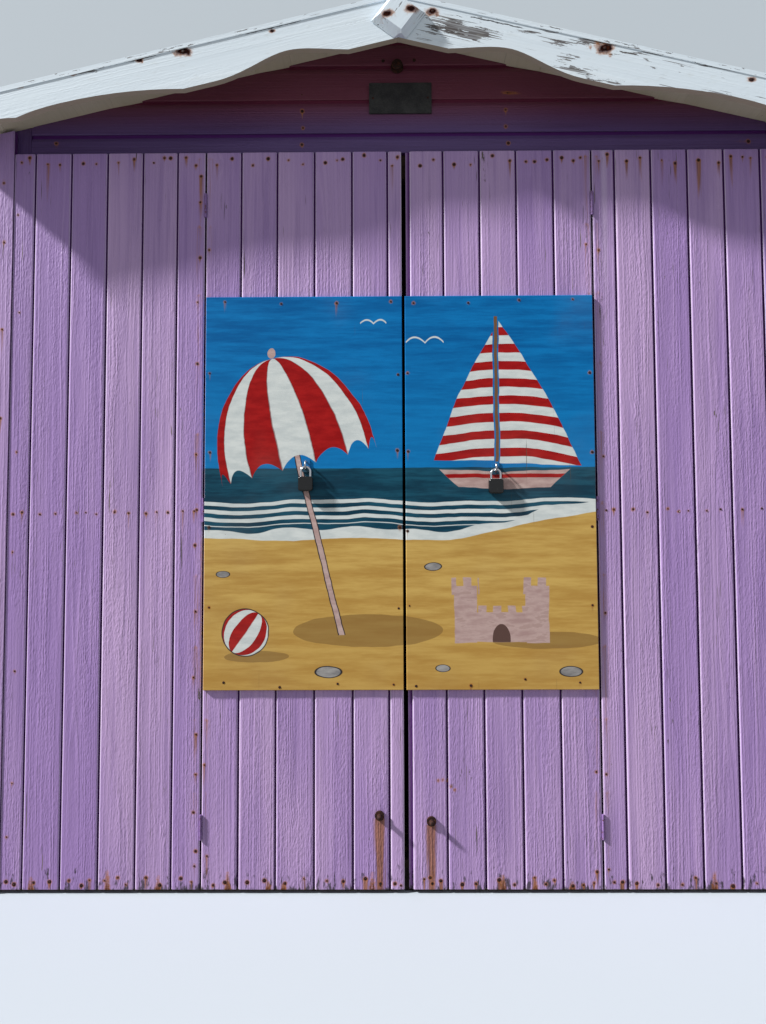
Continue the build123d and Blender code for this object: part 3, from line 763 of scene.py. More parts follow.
# Front panels and door leaves
# Upright matchboards with bevelled edges, nailed through to the rails and ledges behind.
# The side panels are fixed to the frame, and the two leaves swing on the door posts.
boards_low, boards_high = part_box("left_door_boards")
front_face = boards_low.y
bevel = 0.0042
bevel_depth = 0.0025
far_bevel = 0.0035
quirk = 0.006
quirk_depth = 0.010
panel_seams = {
    "left_front_panel": (-1.220, -1.150, -1.035, -0.920, -0.807, -0.697, -0.613),
    "left_door_boards": (-0.607, -0.494, -0.380, -0.262, -0.144, -0.032, 0.009),
    "right_door_boards": (0.036, 0.144, 0.259, 0.375, 0.492, 0.607),
    "right_front_panel": (0.613, 0.686, 0.801, 0.916, 1.031, 1.146, 1.220),
}
panel_bodies = ("hut", "left_door", "right_door", "hut")
hinge_side_nails = (-0.630, -0.595, 0.592, 0.626)
outer_nails = 1.2
top_row = (2.270, 0.018, 1.3)
foot_row = (0.036, 0.014, 1.5)
rail_row = (1.156, 0.006, 0.9)
row_step = 0.06
nail_holes = ((0.112, 0.336), (0.126, 0.338), (0.141, 0.334), (0.151, 0.318), (0.163, 0.308))
peg_streaks = {"left_door_boards": (-0.066, 0.222), "right_door_boards": (0.091, 0.205)}


def on_end(face, out=-1):
    """A board that stands on end in a wall: u goes along X, v up, and d out from the face."""
    return lambda u, v, d: (u, face + out * d, v)


def matched(distance, width):
    """A flat face that falls away by 3 in 5 within a bevel of its first edge. The steeper
    bevel at the far edge ends in a quirk, a narrow channel over the next board's tongue.
    The last board of a panel has no quirk, and the same bevel at both edges."""
    near_edge = np.clip(bevel - distance, 0, None) * bevel_depth / bevel
    far_edge = np.clip(far_bevel + quirk - (width - distance), 0, None) * 1.25
    return np.where(width - distance < quirk, quirk_depth, near_edge + far_edge)


def tongue_edge(distance, width):
    """A tongue left bare at the edge of a leaf lies 5 mm back, and 7 mm in its last 3 mm.
    That depth paints it dark with dirt and painted shade, the corner most.
    """
    return np.where(width - distance < 0.003, 0.007, 0.005)


def board_nails(seams, rows, draw):
    """Two or three nails a board in each row, none in line, some of them weeping. A row is
    its height, how far its nails stray from it, and how strongly they rust."""
    nails = []
    for height, stray, strength in rows:
        for left, right in zip(seams, seams[1:]):
            count = 2 + (draw.random() < 0.3) if right - left > 0.09 else 2
            share = (np.arange(count) + 0.5) / count + draw.normal(0, 0.05, count)
            nails.append(
                np.c_[
                    left + (right - left) * (0.1 + 0.8 * share),
                    height + draw.uniform(-stray, stray, count),
                    draw.uniform(0.5, 1.5, count) * strength,
                    draw.uniform(0.0, 1.0, count) ** 3 * 0.16,
                ]
            )
    return np.concatenate(nails)


def flares(seams, draw):
    """Rust that has crept up the grain from the foot of every other board: spots 5 mm
    apart in two lines that lean together, fainter higher up."""
    made = []
    for left, right in zip(seams, seams[1:]):
        if right - left > 0.09 and draw.random() < 0.6:
            x, top = draw.uniform(left + 0.02, right - 0.02), draw.uniform(0.02, 0.06)
            for rise in np.arange(0, top, 0.005):
                for reach in (-0.004, 0.004):
                    shift = reach * (1 - rise / top) + draw.normal(0, 0.001)
                    made.append((x + shift, boards_low.z + rise, 1.0 - 0.6 * rise / top, 0.0))
    return np.array(made).reshape(-1, 4)


edge_nail_heights = (
    0.08, 0.157, 0.258, 0.36, 0.477, 0.665, 0.854, 1.05, 1.16, 1.33, 1.62, 1.80, 1.975, 2.124, 2.21,
)
for number, (name, seams) in enumerate(panel_seams.items()):
    draw = np.random.default_rng(50 + number)
    rows = [top_row, foot_row] + ([rail_row] if "panel" in name else [])
    nails = board_nails(seams, rows, draw)
    hinge_side, body = hinge_side_nails[number], panel_bodies[number]
    heights = np.array(edge_nail_heights[:: 1 if number == 0 else 3])
    heights = heights + draw.normal(0, 0.012, len(heights))
    edge = np.c_[
        hinge_side + draw.normal(0, 0.004, len(heights)),
        heights,
        draw.uniform(0.7, 1.5, len(heights)),
        draw.uniform(0.1, 1.0, len(heights)) ** 2 * 0.13,
    ]
    nails = np.r_[nails, edge]
    if "panel" in name:
        heights = np.array(edge_nail_heights[1::2]) + draw.normal(0, 0.02, 7)
        along = np.sign(hinge_side) * outer_nails + draw.normal(0, 0.006, 7)
        nails = np.r_[nails, np.c_[along, heights, np.full(7, 0.7), np.full(7, 0.02)]]
    soaked = [[hinge_side, z, draw.uniform(0.3, 0.55), 0.33] for z in np.arange(2.28, 0.2, -0.22)]
    stained = np.r_[nails, flares(seams, draw), soaked]
    if name in peg_streaks:
        peg_x, peg_z = peg_streaks[name]
        streak = [[peg_x, peg_z, 1.9, 0.42], [peg_x + 0.002, 0.03, 1.6, 0.01]]
        stained = np.r_[stained, streak]
    if name == "right_door_boards":
        stained = np.r_[stained, [[x, z, 0.8, 0.001] for x, z in nail_holes]]
    steps = draw.normal(0, 0.0004, len(seams))
    cups = draw.uniform(-0.0009, 0.0011, len(seams))

    shells = []
    for index, (left, right) in enumerate(zip(seams, seams[1:])):
        set_back = abs(steps[index])
        last = index == len(seams) - 2
        far = right - (0 if last else quirk)
        own = stained[(stained[:, 0] > left) & (stained[:, 0] < right)]
        shells.append(
            plank(
                on_end(front_face + set_back),
                (left, right),
                (boards_low.z, boards_high.z),
                boards_high.y - front_face - set_back,
                eased(bevel, bevel_depth / bevel) if last else matched,
                np.r_[
                    left + bevel,
                    far - (bevel if last else far_bevel),
                    far - 0.0001,
                    far + 0.0001,
                    np.arange(left + 0.012, right - 0.012, column_step),
                    around_nails(own[:, 0], near),
                ],
                np.r_[
                    np.arange(boards_low.z, boards_high.z, row_step),
                    np.arange(boards_low.z, boards_low.z + 0.07, 0.006),
                    around_nails(own[:, 1], np.r_[near, below]),
                ],
                cup=cups[index],
            )
        )
    if name == "right_door_boards":
        tongue, span = (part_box(name)[0].x, seams[0] + 0.001), (boards_low.z, boards_high.z)
        shells.append(plank(on_end(front_face + 0.0020), tongue, span, 0.011, tongue_edge))
    panel = boards(
        name + "_match", shells, board_paint, upright_timber, body, 60 + number, stained
    )
    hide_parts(name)
    nail_heads(name + "_nails", on_face(nails, front_face + 0.0005), body=body, seed=70 + number)


# Corner boards
# Planed boards that cover the ends of the walls, cut to the slope of the roof. The front
# pair is let in 3 mm proud of the panels, and the rear pair is nailed over the cladding.
corner_low, corner_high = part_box("corner_boards")
corner_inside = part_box("right_front_panel")[1].x + 0.002
corner_draw = np.random.default_rng(95)
corner_front = front_face - 0.003


def up_to_slope(foot, top, inside=0.0):
    """Both ends of a board that stands on end: its foot, and the slope of the roof, which is
    at the top where x is inside, and lower by the pitch further out."""
    return lambda x: (np.full_like(x, foot), top - (np.abs(x) - inside) * roof_slope)


corner_nails = np.array(
    [
        [side * (corner_inside + 0.028) + corner_draw.normal(0, 0.006), z + corner_draw.normal(0, 0.01),
         corner_draw.uniform(0.8, 1.4), corner_draw.uniform(0, 1) ** 2 * 0.1]
        for side in (-1, 1)
        for z in (0.1, 0.42, 0.78, 1.12, 1.45, 1.74, 2.01, 2.2)
    ]
)
corner_columns = np.arange(-corner_high.x, corner_high.x, column_step)
corner_columns = np.r_[corner_columns, around_nails(corner_nails[:, 0], near)]
corner_rows = np.arange(corner_low.z, corner_high.z, row_step)
corner_rows = np.r_[corner_rows, around_nails(corner_nails[:, 1], near)]
corner_shells = [
    plank(
        corner_place,
        tuple(sorted((side * corner_inside, side * corner_high.x))),
        (corner_low.z, corner_high.z),
        thickness,
        plain_edge,
        corner_columns,
        corner_rows,
        up_to_slope(corner_low.z, corner_high.z, corner_inside),
    )
    for side in (-1, 1)
    for corner_place, thickness in (
        (on_end(corner_front), boards_high.y - corner_front),
        (on_end(corner_high.y, 1), corner_high.y - rear_high.y),
    )
]
corner = boards(
    "corner_boards_cut", corner_shells, board_paint, upright_timber, "hut", 96, corner_nails
)
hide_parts("corner_boards")
nail_heads("corner_nails", on_face(corner_nails, corner_front))


# Front gable
# Four shiplap boards laid level between two upright end strips, over the doors.
# The overhang keeps the rain off, so the plum paint here is sounder. Higher up it is painted redder:
# painted warm light reflected down from the soffit.
gable_low, gable_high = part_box("front_gable")
gable_seams = (gable_low.z, 2.373, 2.483, 2.596, ridge_height - 0.004)
strip_inside = 1.178
plum = tint(88, 66, 120)
faded_plum = tint(98, 76, 130)
plum_groove = tint(62, 40, 80)
# Towards the ridge the plum turns maroon: painted warm light reflected down from the soffit.
painted_bounce_maroon = (tint(118, 54, 58), 2.36, 2.49)
plums = (plum, faded_plum, plum_groove, grey_wood)
gable_paint = painted_timber("gable_paint", *plums, 0.15, 0.0, (0, -90, 0), depth=0.0008, upper=painted_bounce_maroon)
strip_paint = painted_timber("strip_paint", *plums, 0.15, 0.0, depth=0.0008, upper=painted_bounce_maroon)
gable_draw = np.random.default_rng(81)
gable_nails = np.array(
    [
        [x + gable_draw.normal(0, 0.004), z, gable_draw.uniform(1.1, 1.9), gable_draw.uniform(0, 0.03)]
        for x, heights in (
            (-1.10, (2.345,)),
            (-0.31, (2.335, 2.39, 2.445, 2.50)),
            (0.35, (2.335, 2.39, 2.445, 2.50)),
            (1.12, (2.335,)),
        )
        for z in heights
    ]
)
gable_rows = np.r_[np.arange(-strip_inside, strip_inside, 0.1), around_nails(gable_nails[:, 0], near)]
gable_shells = shiplap_boards(
    laid_level(gable_low.y, -1), gable_seams, (-strip_inside, strip_inside), gable_high.y - gable_low.y,
    gable_nails, gable_rows, cut_to_slope(strip_inside),
)
gable = boards(
    "front_gable_boards", gable_shells, gable_paint, cross_timber, "hut", 82, gable_nails
)
strip_shells = [
    plank(
        on_end(gable_low.y + 0.001),
        tuple(sorted((side * (strip_inside + 0.001), side * gable_high.x))),
        (gable_low.z, ridge_height - strip_inside * roof_slope),
        gable_high.y - gable_low.y - 0.001,
        plain_edge,
        rows=np.arange(gable_low.z, 2.4, 0.03),
        trim=up_to_slope(gable_low.z, ridge_height),
    )
    for side in (-1, 1)
]
boards("gable_end_strips", strip_shells, strip_paint, upright_timber, "hut", 83)
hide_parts("front_gable")
nail_heads("gable_nails", on_face(gable_nails, gable_low.y))


# Roof boards
# Boards laid from end to end of the hut across the rafters, under the felt. Their
# undersides show in the overhang, where the weather has turned them a grey khaki.
roof_low, roof_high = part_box("right_roof_boards")
soffit_edges = evenly(0.0, roof_high.x / roof_run, 0.118)
roof_thickness = 0.020
khakis = (tint(214, 206, 182), tint(222, 214, 192), tint(200, 192, 168), tint(150, 138, 116))
khaki_timber = painted_timber("khaki_timber", *khakis, 0.0, 0.0, (90, 0, 0), depth=0.0003)


for side, name in ((-1, "left_roof_boards"), (1, "right_roof_boards")):

    def slope_place(u, v, d, side=side):
        """u runs down the slope from the ridge, v along the hut, d square out of the soffit."""
        return side * (u * roof_run - d * roof_fall), v, ridge_height - u * roof_fall - d * roof_run

    shells = [
        plank(
            slope_place,
            (upper + 0.0002, lower - 0.0002),
            (roof_low.y, roof_high.y),
            roof_thickness,
            eased(0.0005),
            (upper + 0.0008, lower - 0.0008),
            np.linspace(roof_low.y, roof_high.y, 12),
        )
        for upper, lower in zip(soffit_edges, soffit_edges[1:])
    ]
    roof = boards(name + "_laid", shells, khaki_timber, khaki_timber, "hut", 90 + side)
    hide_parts(name)


# Roofing felt
# Mineral felt: a main sheet over both slopes, turned down at the eaves, an upper sheet
# lapped over it, and a capping strip along the ridge, all held with clout nails.


def mineral_felt():
    """Grey-green mineral chips in bitumen, with darker damp patches and rain streaks."""
    material, _, place = new_finish("mineral_felt", Specular_IOR_Level=0.2)
    chips = noise(place, 900, 1, 0.6)
    patches = noise(place, 3.5, 4, 0.6)
    streaks = noise(place, 26, 3, 0.6, (0.08, 1, 1))
    colour = mix(chips.rise(0.35, 0.65), tint(58, 66, 60), tint(104, 112, 102))
    colour = mix(patches.rise(0.45, 0.7) * 0.5, colour, tint(64, 68, 58))
    colour = mix(streaks.rise(0.55, 0.75) * 0.35, colour, tint(120, 122, 108))
    return finished(material, colour, chips * 0.2 + 0.75, chips + patches * 0.5, 0.0009)


mineral_felt = mineral_felt()
dress(mineral_felt, "roof_felt")
felt_low, felt_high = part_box("roof_felt")
upper_lap, ridge_lap = (0.46, 0.0022), (0.15, 0.0044)


def lap_shell(side, reach, lift):
    """One slope of a lapped sheet, 2 mm thick: u runs down the slope from the ridge, and
    its free edge wavers by a few millimetres along the hut."""

    def place(u, v, d):
        slid = u + (u / reach) ** 8 * 0.004 * np.sin(v * 5.1 + side) * np.cos(v * 2.3)
        x = slid * roof_run + (lift + d) * roof_fall
        return side * x, v, felt_high.z - slid * roof_fall + (lift + d) * roof_run

    return plank(
        place, (0.0, reach), (felt_low.y + 0.002, felt_high.y - 0.002), 0.002, plain_edge,
        np.r_[np.linspace(0, reach, 9), reach - 0.001], np.linspace(felt_low.y, felt_high.y, 60),
    )


boards(
    "felt_laps",
    [lap_shell(side, reach, lift) for side in (-1, 1) for reach, lift in (upper_lap, ridge_lap)],
    mineral_felt, mineral_felt, "hut", 95,
)
clout_steps = np.linspace(felt_low.y + 0.03, felt_high.y - 0.03, 44)
clouts = []
for side in (-1, 1):
    for reach, lift in ((0.445, upper_lap[1]), (0.137, ridge_lap[1])):
        z = felt_high.z - reach * roof_fall + lift
        clouts += [(side * reach * roof_run, y, z) for y in clout_steps]
clout_steel, clout_shader, clout_place = new_finish("clout_steel", Metallic=0.7)
clout_bloom = noise(clout_place, 300, 2)
feed(clout_shader["Base Color"], mix(clout_bloom.rise(0.4, 0.7), tint(120, 118, 112), tint(110, 74, 50)))
feed(clout_shader["Roughness"], clout_bloom * 0.3 + 0.45)
nail_heads("felt_clouts", clouts, (0, 0, 1), radius=0.005, proud=0.0012, material=clout_steel)


# Eaves boards, bargeboards, cappings and apex blocks
# White gloss on softwood. The bargeboards are sawn to scallops and nailed to the ends of
# the roof, a thin capping covers each top edge, and a tilted block hides the joint.
front_only = (-1.5, -1.6)
white, faded_white = tint(229, 242, 252), tint(238, 247, 253)
undercoat = tint(186, 176, 152)


def patch(place, centre, size, spread=0.35, edge=0.35):
    """1 within an oval patch of the front and 0 outside it, with a ragged edge."""
    x, _, z = split(place)
    across, up = (x - centre[0]) / size[0], (z - centre[1]) / size[1]
    ragged = noise(place, 1.6 / min(size), 3, 0.6)
    return ((across * across + up * up).power(0.5) + (ragged - 0.5) * 2 * spread).rise(1 + edge, 1 - edge)


def white_boards(name, turn, mirrored, flakes, spots=(), peeled=(), torn=(), undercoat_and_shade_below=0.0):
    """White paint: dull in patches, split along the grain, more so on the right of the
    front, peeled to slivers of grey wood in ovals, and stained by rusty nails at spots
    (x, z, r), where rust is 1.6 exp(-(distance / r)^2), uneven and half as wide again as
    high. torn lists cracks that follow the slope, each from x to x at a height over the
    middle. The last argument is how far faces that look down turn khaki: partly the
    undercoat showing, and partly painted shade on the undersides."""
    material, shader, place = new_finish(name, turn, mirrored)
    tree = material.node_tree
    front = object_place(tree)
    x, y, z = split(front)
    at_front = y.rise(*front_only)
    extra = noise(place, 2.2, 2) * 0.25
    if peeled:
        extra = extra + x.rise(-0.1, 0.1) * 0.25 - 0.25
    for centre, size in peeled:
        extra = extra + patch(front, centre, size, 0.3, 0.7) * 0.62
    paint = use(
        tree, weathered_paint, Place=place, Board=painted_value(tree, "board"), Paint=white,
        Faded=faded_white, Groove=tint(212, 224, 234), Wood=tint(142, 144, 148),
        Cracks=extra + 0.42, Flakes=extra + flakes,
    )
    colour = paint["Color"]
    grime = noise(front, 24, 3, 0.6, (1, 1, 2)).rise(0.55, 0.8)
    colour = mix(grime * 0.2, colour, tint(196, 198, 190))
    for low, high, level in torn:
        off = z + abs(x) * roof_slope - level + (noise(front, 60, 3, 0.6) - 0.5) * 0.010
        ends = (x + (noise(front, 25, 2) - 0.5) * 0.08).rise(low, low + 0.02) * x.rise(high + 0.02, high)
        open_crack = abs(off).rise(0.0026, 0.0012) * ends * at_front
        colour = mix(open_crack * 0.9, colour, tint(34, 32, 36))
    # Faces that look down turn khaki: undercoat showing, and painted shade on the undersides.
    normal = tree.nodes.new("ShaderNodeNewGeometry").outputs["True Normal"]
    under = split(normal)[2].rise(-0.3, -0.6) * undercoat_and_shade_below
    colour = mix(under, colour, undercoat)
    rust = x * 0
    for spot_x, spot_z, radius in spots:
        across, rise = (x - spot_x) / (radius * 1.2), (z - spot_z) / (radius * 0.8)
        spread = (across * across + rise * rise) * (noise(front, 42, 2) * 3 - 0.5)
        rust = rust.most((-spread).maths("EXPONENT") * at_front * 1.6)
    stain = use(tree, rust_stain, Color=colour, Place=front, Rust=rust, Run=0.0)
    dull = rust.rise(0.1, 0.5)
    feed(shader["Specular IOR Level"], (-dull + 1) * 0.4)
    roughness = (Field(paint["Roughness"]) * 0.8).most(dull * 0.9)
    return finished(material, stain["Color"], roughness, paint["Ridges"], 0.0003)


barge_turn = (0, -90 - roof_pitch, 0)
front_spots = (
    (-0.646, 2.533, 0.018), (0.617, 2.532, 0.019), (-1.135, 2.429, 0.009), (-0.979, 2.468, 0.009),
    (-0.778, 2.507, 0.008), (-0.379, 2.593, 0.008), (0.103, 2.652, 0.014), (1.05, 2.43, 0.009),
)
front_peeled = (
    ((0.16, 2.590), (0.075, 0.034)), ((0.26, 2.575), (0.060, 0.022)), ((0.52, 2.455), (0.075, 0.026)),
    ((0.62, 2.425), (0.06, 0.012)), ((0.96, 2.372), (0.10, 0.018)), ((0.60, 2.552), (0.16, 0.010)),
    ((0.50, 2.500), (0.05, 0.012)), ((-0.78, 2.510), (0.06, 0.008)), ((-1.0, 2.47), (0.12, 0.006)),
    ((0.86, 2.388), (0.10, 0.012)), ((0.46, 2.585), (0.12, 0.007)), ((0.78, 2.515), (0.12, 0.006)),
)
apex_screws = ((-0.035, 2.622), (0.037, 2.638))
front_torn = (
    (0.42, 0.80, 2.699), (0.22, 0.36, 2.684), (-0.47, -0.31, 2.694), (-1.15, -1.12, 2.699),
    (-0.995, -0.965, 2.701), (-0.83, -0.73, 2.694), (0.56, 0.66, 2.706),
)
barge_paint = white_boards("barge_paint", barge_turn, True, 0.1, front_spots, front_peeled, front_torn, 1.0)
capping_paint = white_boards("capping_paint", barge_turn, True, 0.3)
block_paint = white_boards("block_paint", (0, -37, 0), False, 0.35, [(x, z, 0.015) for x, z in apex_screws])
eaves_paint = white_boards("eaves_paint", (90, 0, 0), False, 0.25, undercoat_and_shade_below=1.0)
dress(barge_paint, "front_barges", "rear_barges")
dress(capping_paint, "front_cappings", "rear_cappings")
dress(block_paint, "apex_blocks")
dress(eaves_paint, "eaves_boards")
block_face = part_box("apex_blocks")[0].y
barge_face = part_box("front_barges")[0].y
screw_places = [(x, block_face + 0.0010, z) for x, z in apex_screws]
nail_heads("apex_screws", screw_places, radius=0.0045, proud=0.0008)
barge_nails = [(x, barge_face, z) for x, z, _ in front_spots if (x, z) != (-0.379, 2.593)]
nail_heads("barge_nails", barge_nails, radius=0.004)


# Name plate and knob
# A bare plate of riven slate screwed under the apex, and above it a turned iron knob that
# has rusted through its paint, between two nails.


def riven_slate():
    """Dark slate, split along its bed: flat steps and fine ripples, greyer on the rises."""
    material, _, place = new_finish("riven_slate", Specular_IOR_Level=0.35)
    bed = noise(place, 26, 4, 0.6)
    ripples = noise(place, 220, 2, 0.5, (1, 1, 2.4))
    colour = mix((bed * 0.6 + ripples * 0.4).rise(0.35, 0.65), tint(34, 35, 37), tint(62, 62, 62))
    return finished(material, colour, ripples * 0.25 + 0.5, bed + ripples * 0.4, 0.0012)


dress(riven_slate(), "name_plate")
dress(rusty_iron, "gable_knob", "left_peg", "right_peg")
plate_low, plate_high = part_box("name_plate")
plate_middle = (plate_low.z + plate_high.z) / 2
plate_screws = [(x, plate_low.y, plate_middle) for x in (plate_low.x + 0.012, plate_high.x - 0.012)]
nail_heads("plate_screws", plate_screws, radius=0.0035)
knob_nails = [(-0.047, gable_low.y, 2.609), (0.053, gable_low.y, 2.611)]
nail_heads("knob_nails", knob_nails, radius=0.0045, proud=0.003)


# Hinges
# Pressed steel butts, three to a leaf, painted over with the boards and rusting at the edges.


def painted_hinge():
    """Steel under the same lilac paint, with rust that creeps out of chips in it."""
    material, _, place = new_finish("painted_hinge", Specular_IOR_Level=0.4)
    creep = noise(place, 70, 4, 0.6)
    chips = noise(place, 300, 3, 0.6, (1, 1, 0.5))
    rusted = (creep + chips * 0.5).rise(0.82, 0.9)
    colour = mix(creep.rise(0.3, 0.7), tint(146, 114, 172), tint(120, 92, 146))
    colour = mix(rusted, colour, mix(chips, tint(62, 34, 26), tint(122, 66, 38)))
    return finished(material, colour, rusted * 0.3 + 0.5, chips * 0.3 - rusted * 0.5, 0.0006)


dress(painted_hinge(), "frame_hinges", "left_door_hinges", "right_door_hinges")


# Picture on the doors
# A sheet of plywood nailed to each leaf, with one seaside scene painted across both by
# hand in gloss: a striped parasol on the sand, and a boat with striped sails.


def striped_dome(x, z, centre, size, tilt, gores):
    """A parasol or ball of equal gores. In its own axes, across p and up q, a point lies at
    s = p / (1 - q^2)^0.5 between the sides, and gore number = (asin(s) / pi + 0.5) x gores."""
    c, s = cos(radians(tilt)), sin(radians(tilt))
    p = ((x - centre[0]) * c + (z - centre[1]) * s) / size[0]
    q = ((z - centre[1]) * c - (x - centre[0]) * s) / size[1]
    girth = (-(q * q) + 1).most(0.001).power(0.5)
    turn = (p / girth).most(-1).least(1).maths("ARCSINE") / pi + 0.5
    return p, q, turn * gores


def seaside_picture():
    """The scene in the plane of the boards: masks of plain shapes, each laid over the last.
    Every outline wavers a little, as brushed by hand, and the paint shows its strokes."""
    material, _, place = new_finish("seaside_picture", Specular_IOR_Level=0.12)
    x, y, z = split(place)
    shake = noise(place, 9, 2)
    fine = noise(place, 60, 1)
    x = x + (shake - 0.5) * 0.012 + (fine - 0.5) * 0.0025
    z = z + (noise(place, 11, 2) - 0.5) * 0.010
    soft = 0.0012

    def side_of(value):
        """1 where the value is above 0, with a brushed edge."""
        return value.rise(-soft, soft)

    def line(value, width):
        """1 along the line where the value is 0."""
        return abs(value).rise(width / 2 + soft, width / 2 - soft)

    def oval(centre, size):
        """Below 0 inside an oval and above it outside."""
        across, up = (x - centre[0]) / size[0], (z - centre[1]) / size[1]
        return (across * across + up * up).power(0.5) - 1

    def box(low, high):
        """1 inside a rectangle."""
        return side_of(x - low[0]) * side_of(-x + high[0]) * side_of(z - low[1]) * side_of(-z + high[1])

    strokes = noise(place, 14, 4, 0.65, (0.35, 1, 3.2))
    dabs = noise(place, 30, 3, 0.6, (0.5, 1, 1.6))
    dabbed = dabs.rise(0.3, 0.7)
    red = mix(dabbed, tint(150, 12, 16), tint(176, 26, 26))
    white = mix(dabbed, tint(206, 214, 214), tint(226, 232, 230))
    pink = mix(dabbed, tint(176, 146, 142), tint(204, 178, 172))
    grey = mix(dabbed, tint(120, 118, 120), tint(170, 168, 166))
    shade = tint(140, 108, 60)
    dark = tint(34, 34, 42)

    # sky, sea, surf and sand
    colour = mix(strokes.rise(0.3, 0.7), tint(0, 96, 162), tint(8, 124, 194))
    colour = mix(z.rise(1.72, 1.34) * 0.45, colour, tint(20, 132, 198))
    horizon = 1.290
    sea = mix(strokes.rise(0.35, 0.65), tint(12, 56, 76), tint(26, 84, 106))
    colour = mix(side_of(-z + horizon), colour, sea)
    swell = z + (x * 9).sine() * 0.006 + (x * 23).sine() * 0.003
    bands = ((-swell + 1.2) * 42).fraction()
    surf = side_of(-swell + 1.196) * side_of(swell - 1.115) * bands.rise(0.42, 0.5) * bands.rise(0.98, 0.9)
    colour = mix(surf, colour, white)
    shore = x.rise(0.1, 0.7) * 0.09 + 1.07
    foam = -swell + shore + 0.03 + (x * 31).sine() * 0.005
    colour = mix(side_of(foam), colour, white)
    sand = mix(strokes.rise(0.3, 0.72), tint(186, 144, 72), tint(212, 176, 98))
    beach = side_of(-z + shore - (x * 13).sine() * 0.004)
    colour = mix(beach, colour, sand)
    colour = mix(beach * z.rise(0.95, 0.60) * 0.3, colour, tint(178, 134, 66))

    # boat with a striped mainsail and jib
    from_keel = abs(x - 0.33)
    hull = side_of(z - 1.222 - from_keel * 0.05) * side_of(-z + 1.276 + from_keel * 0.04)
    hull = hull * side_of(-abs(x - 0.325) + 0.165 + (z - 1.25) * 1.1)
    colour = mix(hull, colour, pink)
    colour = mix(hull * line(z - 1.264, 0.012), colour, red)
    mast = side_of(-abs(x - 0.300) + 0.005) * side_of(z - 1.27) * side_of(-z + 1.765)
    colour = mix(mast, colour, tint(120, 86, 58))
    belly = ((z - 1.3) * 6.6).sine() * 0.018
    main = side_of(x - 0.309) * side_of(z - 1.305 + (x - 0.3) * 0.04)
    main = main * side_of((-z + 1.745) * 0.56 + 0.309 - x + belly)
    jib = side_of(-x + 0.290) * side_of(z - 1.312) * side_of(x - 0.290 + (-z + 1.70) * 0.47 + belly)
    bend = z + (x - 0.3) * (x - 0.3) * 0.5 + (x * 11).sine() * 0.003
    stripes = side_of(((bend * 18.5).fraction() - 0.5) * 0.054)
    colour = mix(main.most(jib), colour, mix(stripes, white, red))

    # parasol, its pole, and the shade it throws on the sand
    colour = mix(side_of(-oval((-0.10, 0.79), (0.23, 0.050))) * 0.7, colour, shade)
    p, q, gore = striped_dome(x, z, (-0.315, 1.315), (0.245, 0.33), 14, 7)
    pole_x = abs(x + 0.315 + (z - 1.315) * 0.25)
    pole_span = side_of(z - 0.775) * side_of(-z + 1.36)
    colour = mix(side_of(-pole_x + 0.009) * pole_span, colour, pink)
    colour = mix(line(pole_x - 0.009, 0.003) * pole_span, colour, dark)
    scallop = gore.fraction()
    hem = q - scallop * (-scallop + 1) * 0.42 + 0.06
    canopy = side_of((-(p * p + q * q).power(0.5) + 1) * 0.25) * side_of(hem * 0.33)
    odd = side_of(((gore * 0.5).fraction() - 0.5) * 0.12)
    colour = mix(canopy, colour, mix(odd, red, white))
    colour = mix(canopy * line(abs(scallop - 0.5) - 0.5, 0.05) * 0.5, colour, tint(110, 20, 26))
    colour = mix(side_of(-oval((-0.398, 1.652), (0.013, 0.016))), colour, pink)

    # ball on the sand
    p, q, gore = striped_dome(x, z, (-0.475, 0.785), (0.072, 0.072), -35, 6)
    colour = mix(side_of(-oval((-0.440, 0.712), (0.10, 0.018))) * 0.7, colour, shade)
    ball = side_of((-(p * p + q * q).power(0.5) + 1) * 0.07)
    odd = side_of(((gore * 0.5).fraction() - 0.5) * 0.05)
    colour = mix(ball, colour, mix(odd, red, white))
    colour = mix(line(oval((-0.475, 0.785), (0.072, 0.072)) * 0.07, 0.003), colour, dark)

    # castle of sand with two towers
    colour = mix(side_of(-oval((0.45, 0.760), (0.17, 0.026))) * 0.7, colour, shade)
    notch = side_of(((x * 22.0 + 0.2).fraction() - 0.45) * 0.045)
    wall = box((0.20, 0.755), (0.42, 0.845)).most(box((0.20, 0.80), (0.42, 0.865)) * notch)
    towers = box((0.165, 0.752), (0.235, 0.925)).most(box((0.385, 0.752), (0.455, 0.925)))
    tops = box((0.158, 0.9), (0.242, 0.950)).most(box((0.378, 0.9), (0.462, 0.950)))
    castle = wall.most(towers).most(tops * notch)
    colour = mix(castle, colour, pink)
    colour = mix(castle * dabs.rise(0.55, 0.62) * 0.45, colour, tint(150, 116, 110))
    door = side_of(-oval((0.31, 0.765), (0.026, 0.045))) * side_of(z - 0.755)
    colour = mix(door, colour, tint(96, 72, 66))

    # pebbles with dark outlines, and two gulls
    for centre, size in (
        ((-0.22, 0.665), (0.040, 0.017)), ((0.10, 0.985), (0.026, 0.012)), ((0.13, 0.675), (0.022, 0.011)),
        ((0.52, 0.665), (0.034, 0.015)), ((-0.545, 0.965), (0.020, 0.010)),
    ):
        stone = oval(centre, size)
        colour = mix(side_of(-stone * 0.03), colour, grey)
        colour = mix(line(stone * 0.02, 0.003), colour, dark)
    for gull_x, gull_z, span in ((0.08, 1.70, 0.030), (-0.08, 1.755, 0.020)):
        wing = (abs(x - gull_x) - span) / span
        bow = z - gull_z + wing * wing * span * 0.55
        colour = mix(line(bow, 0.005) * side_of(-abs(wing) + 1), colour, white)

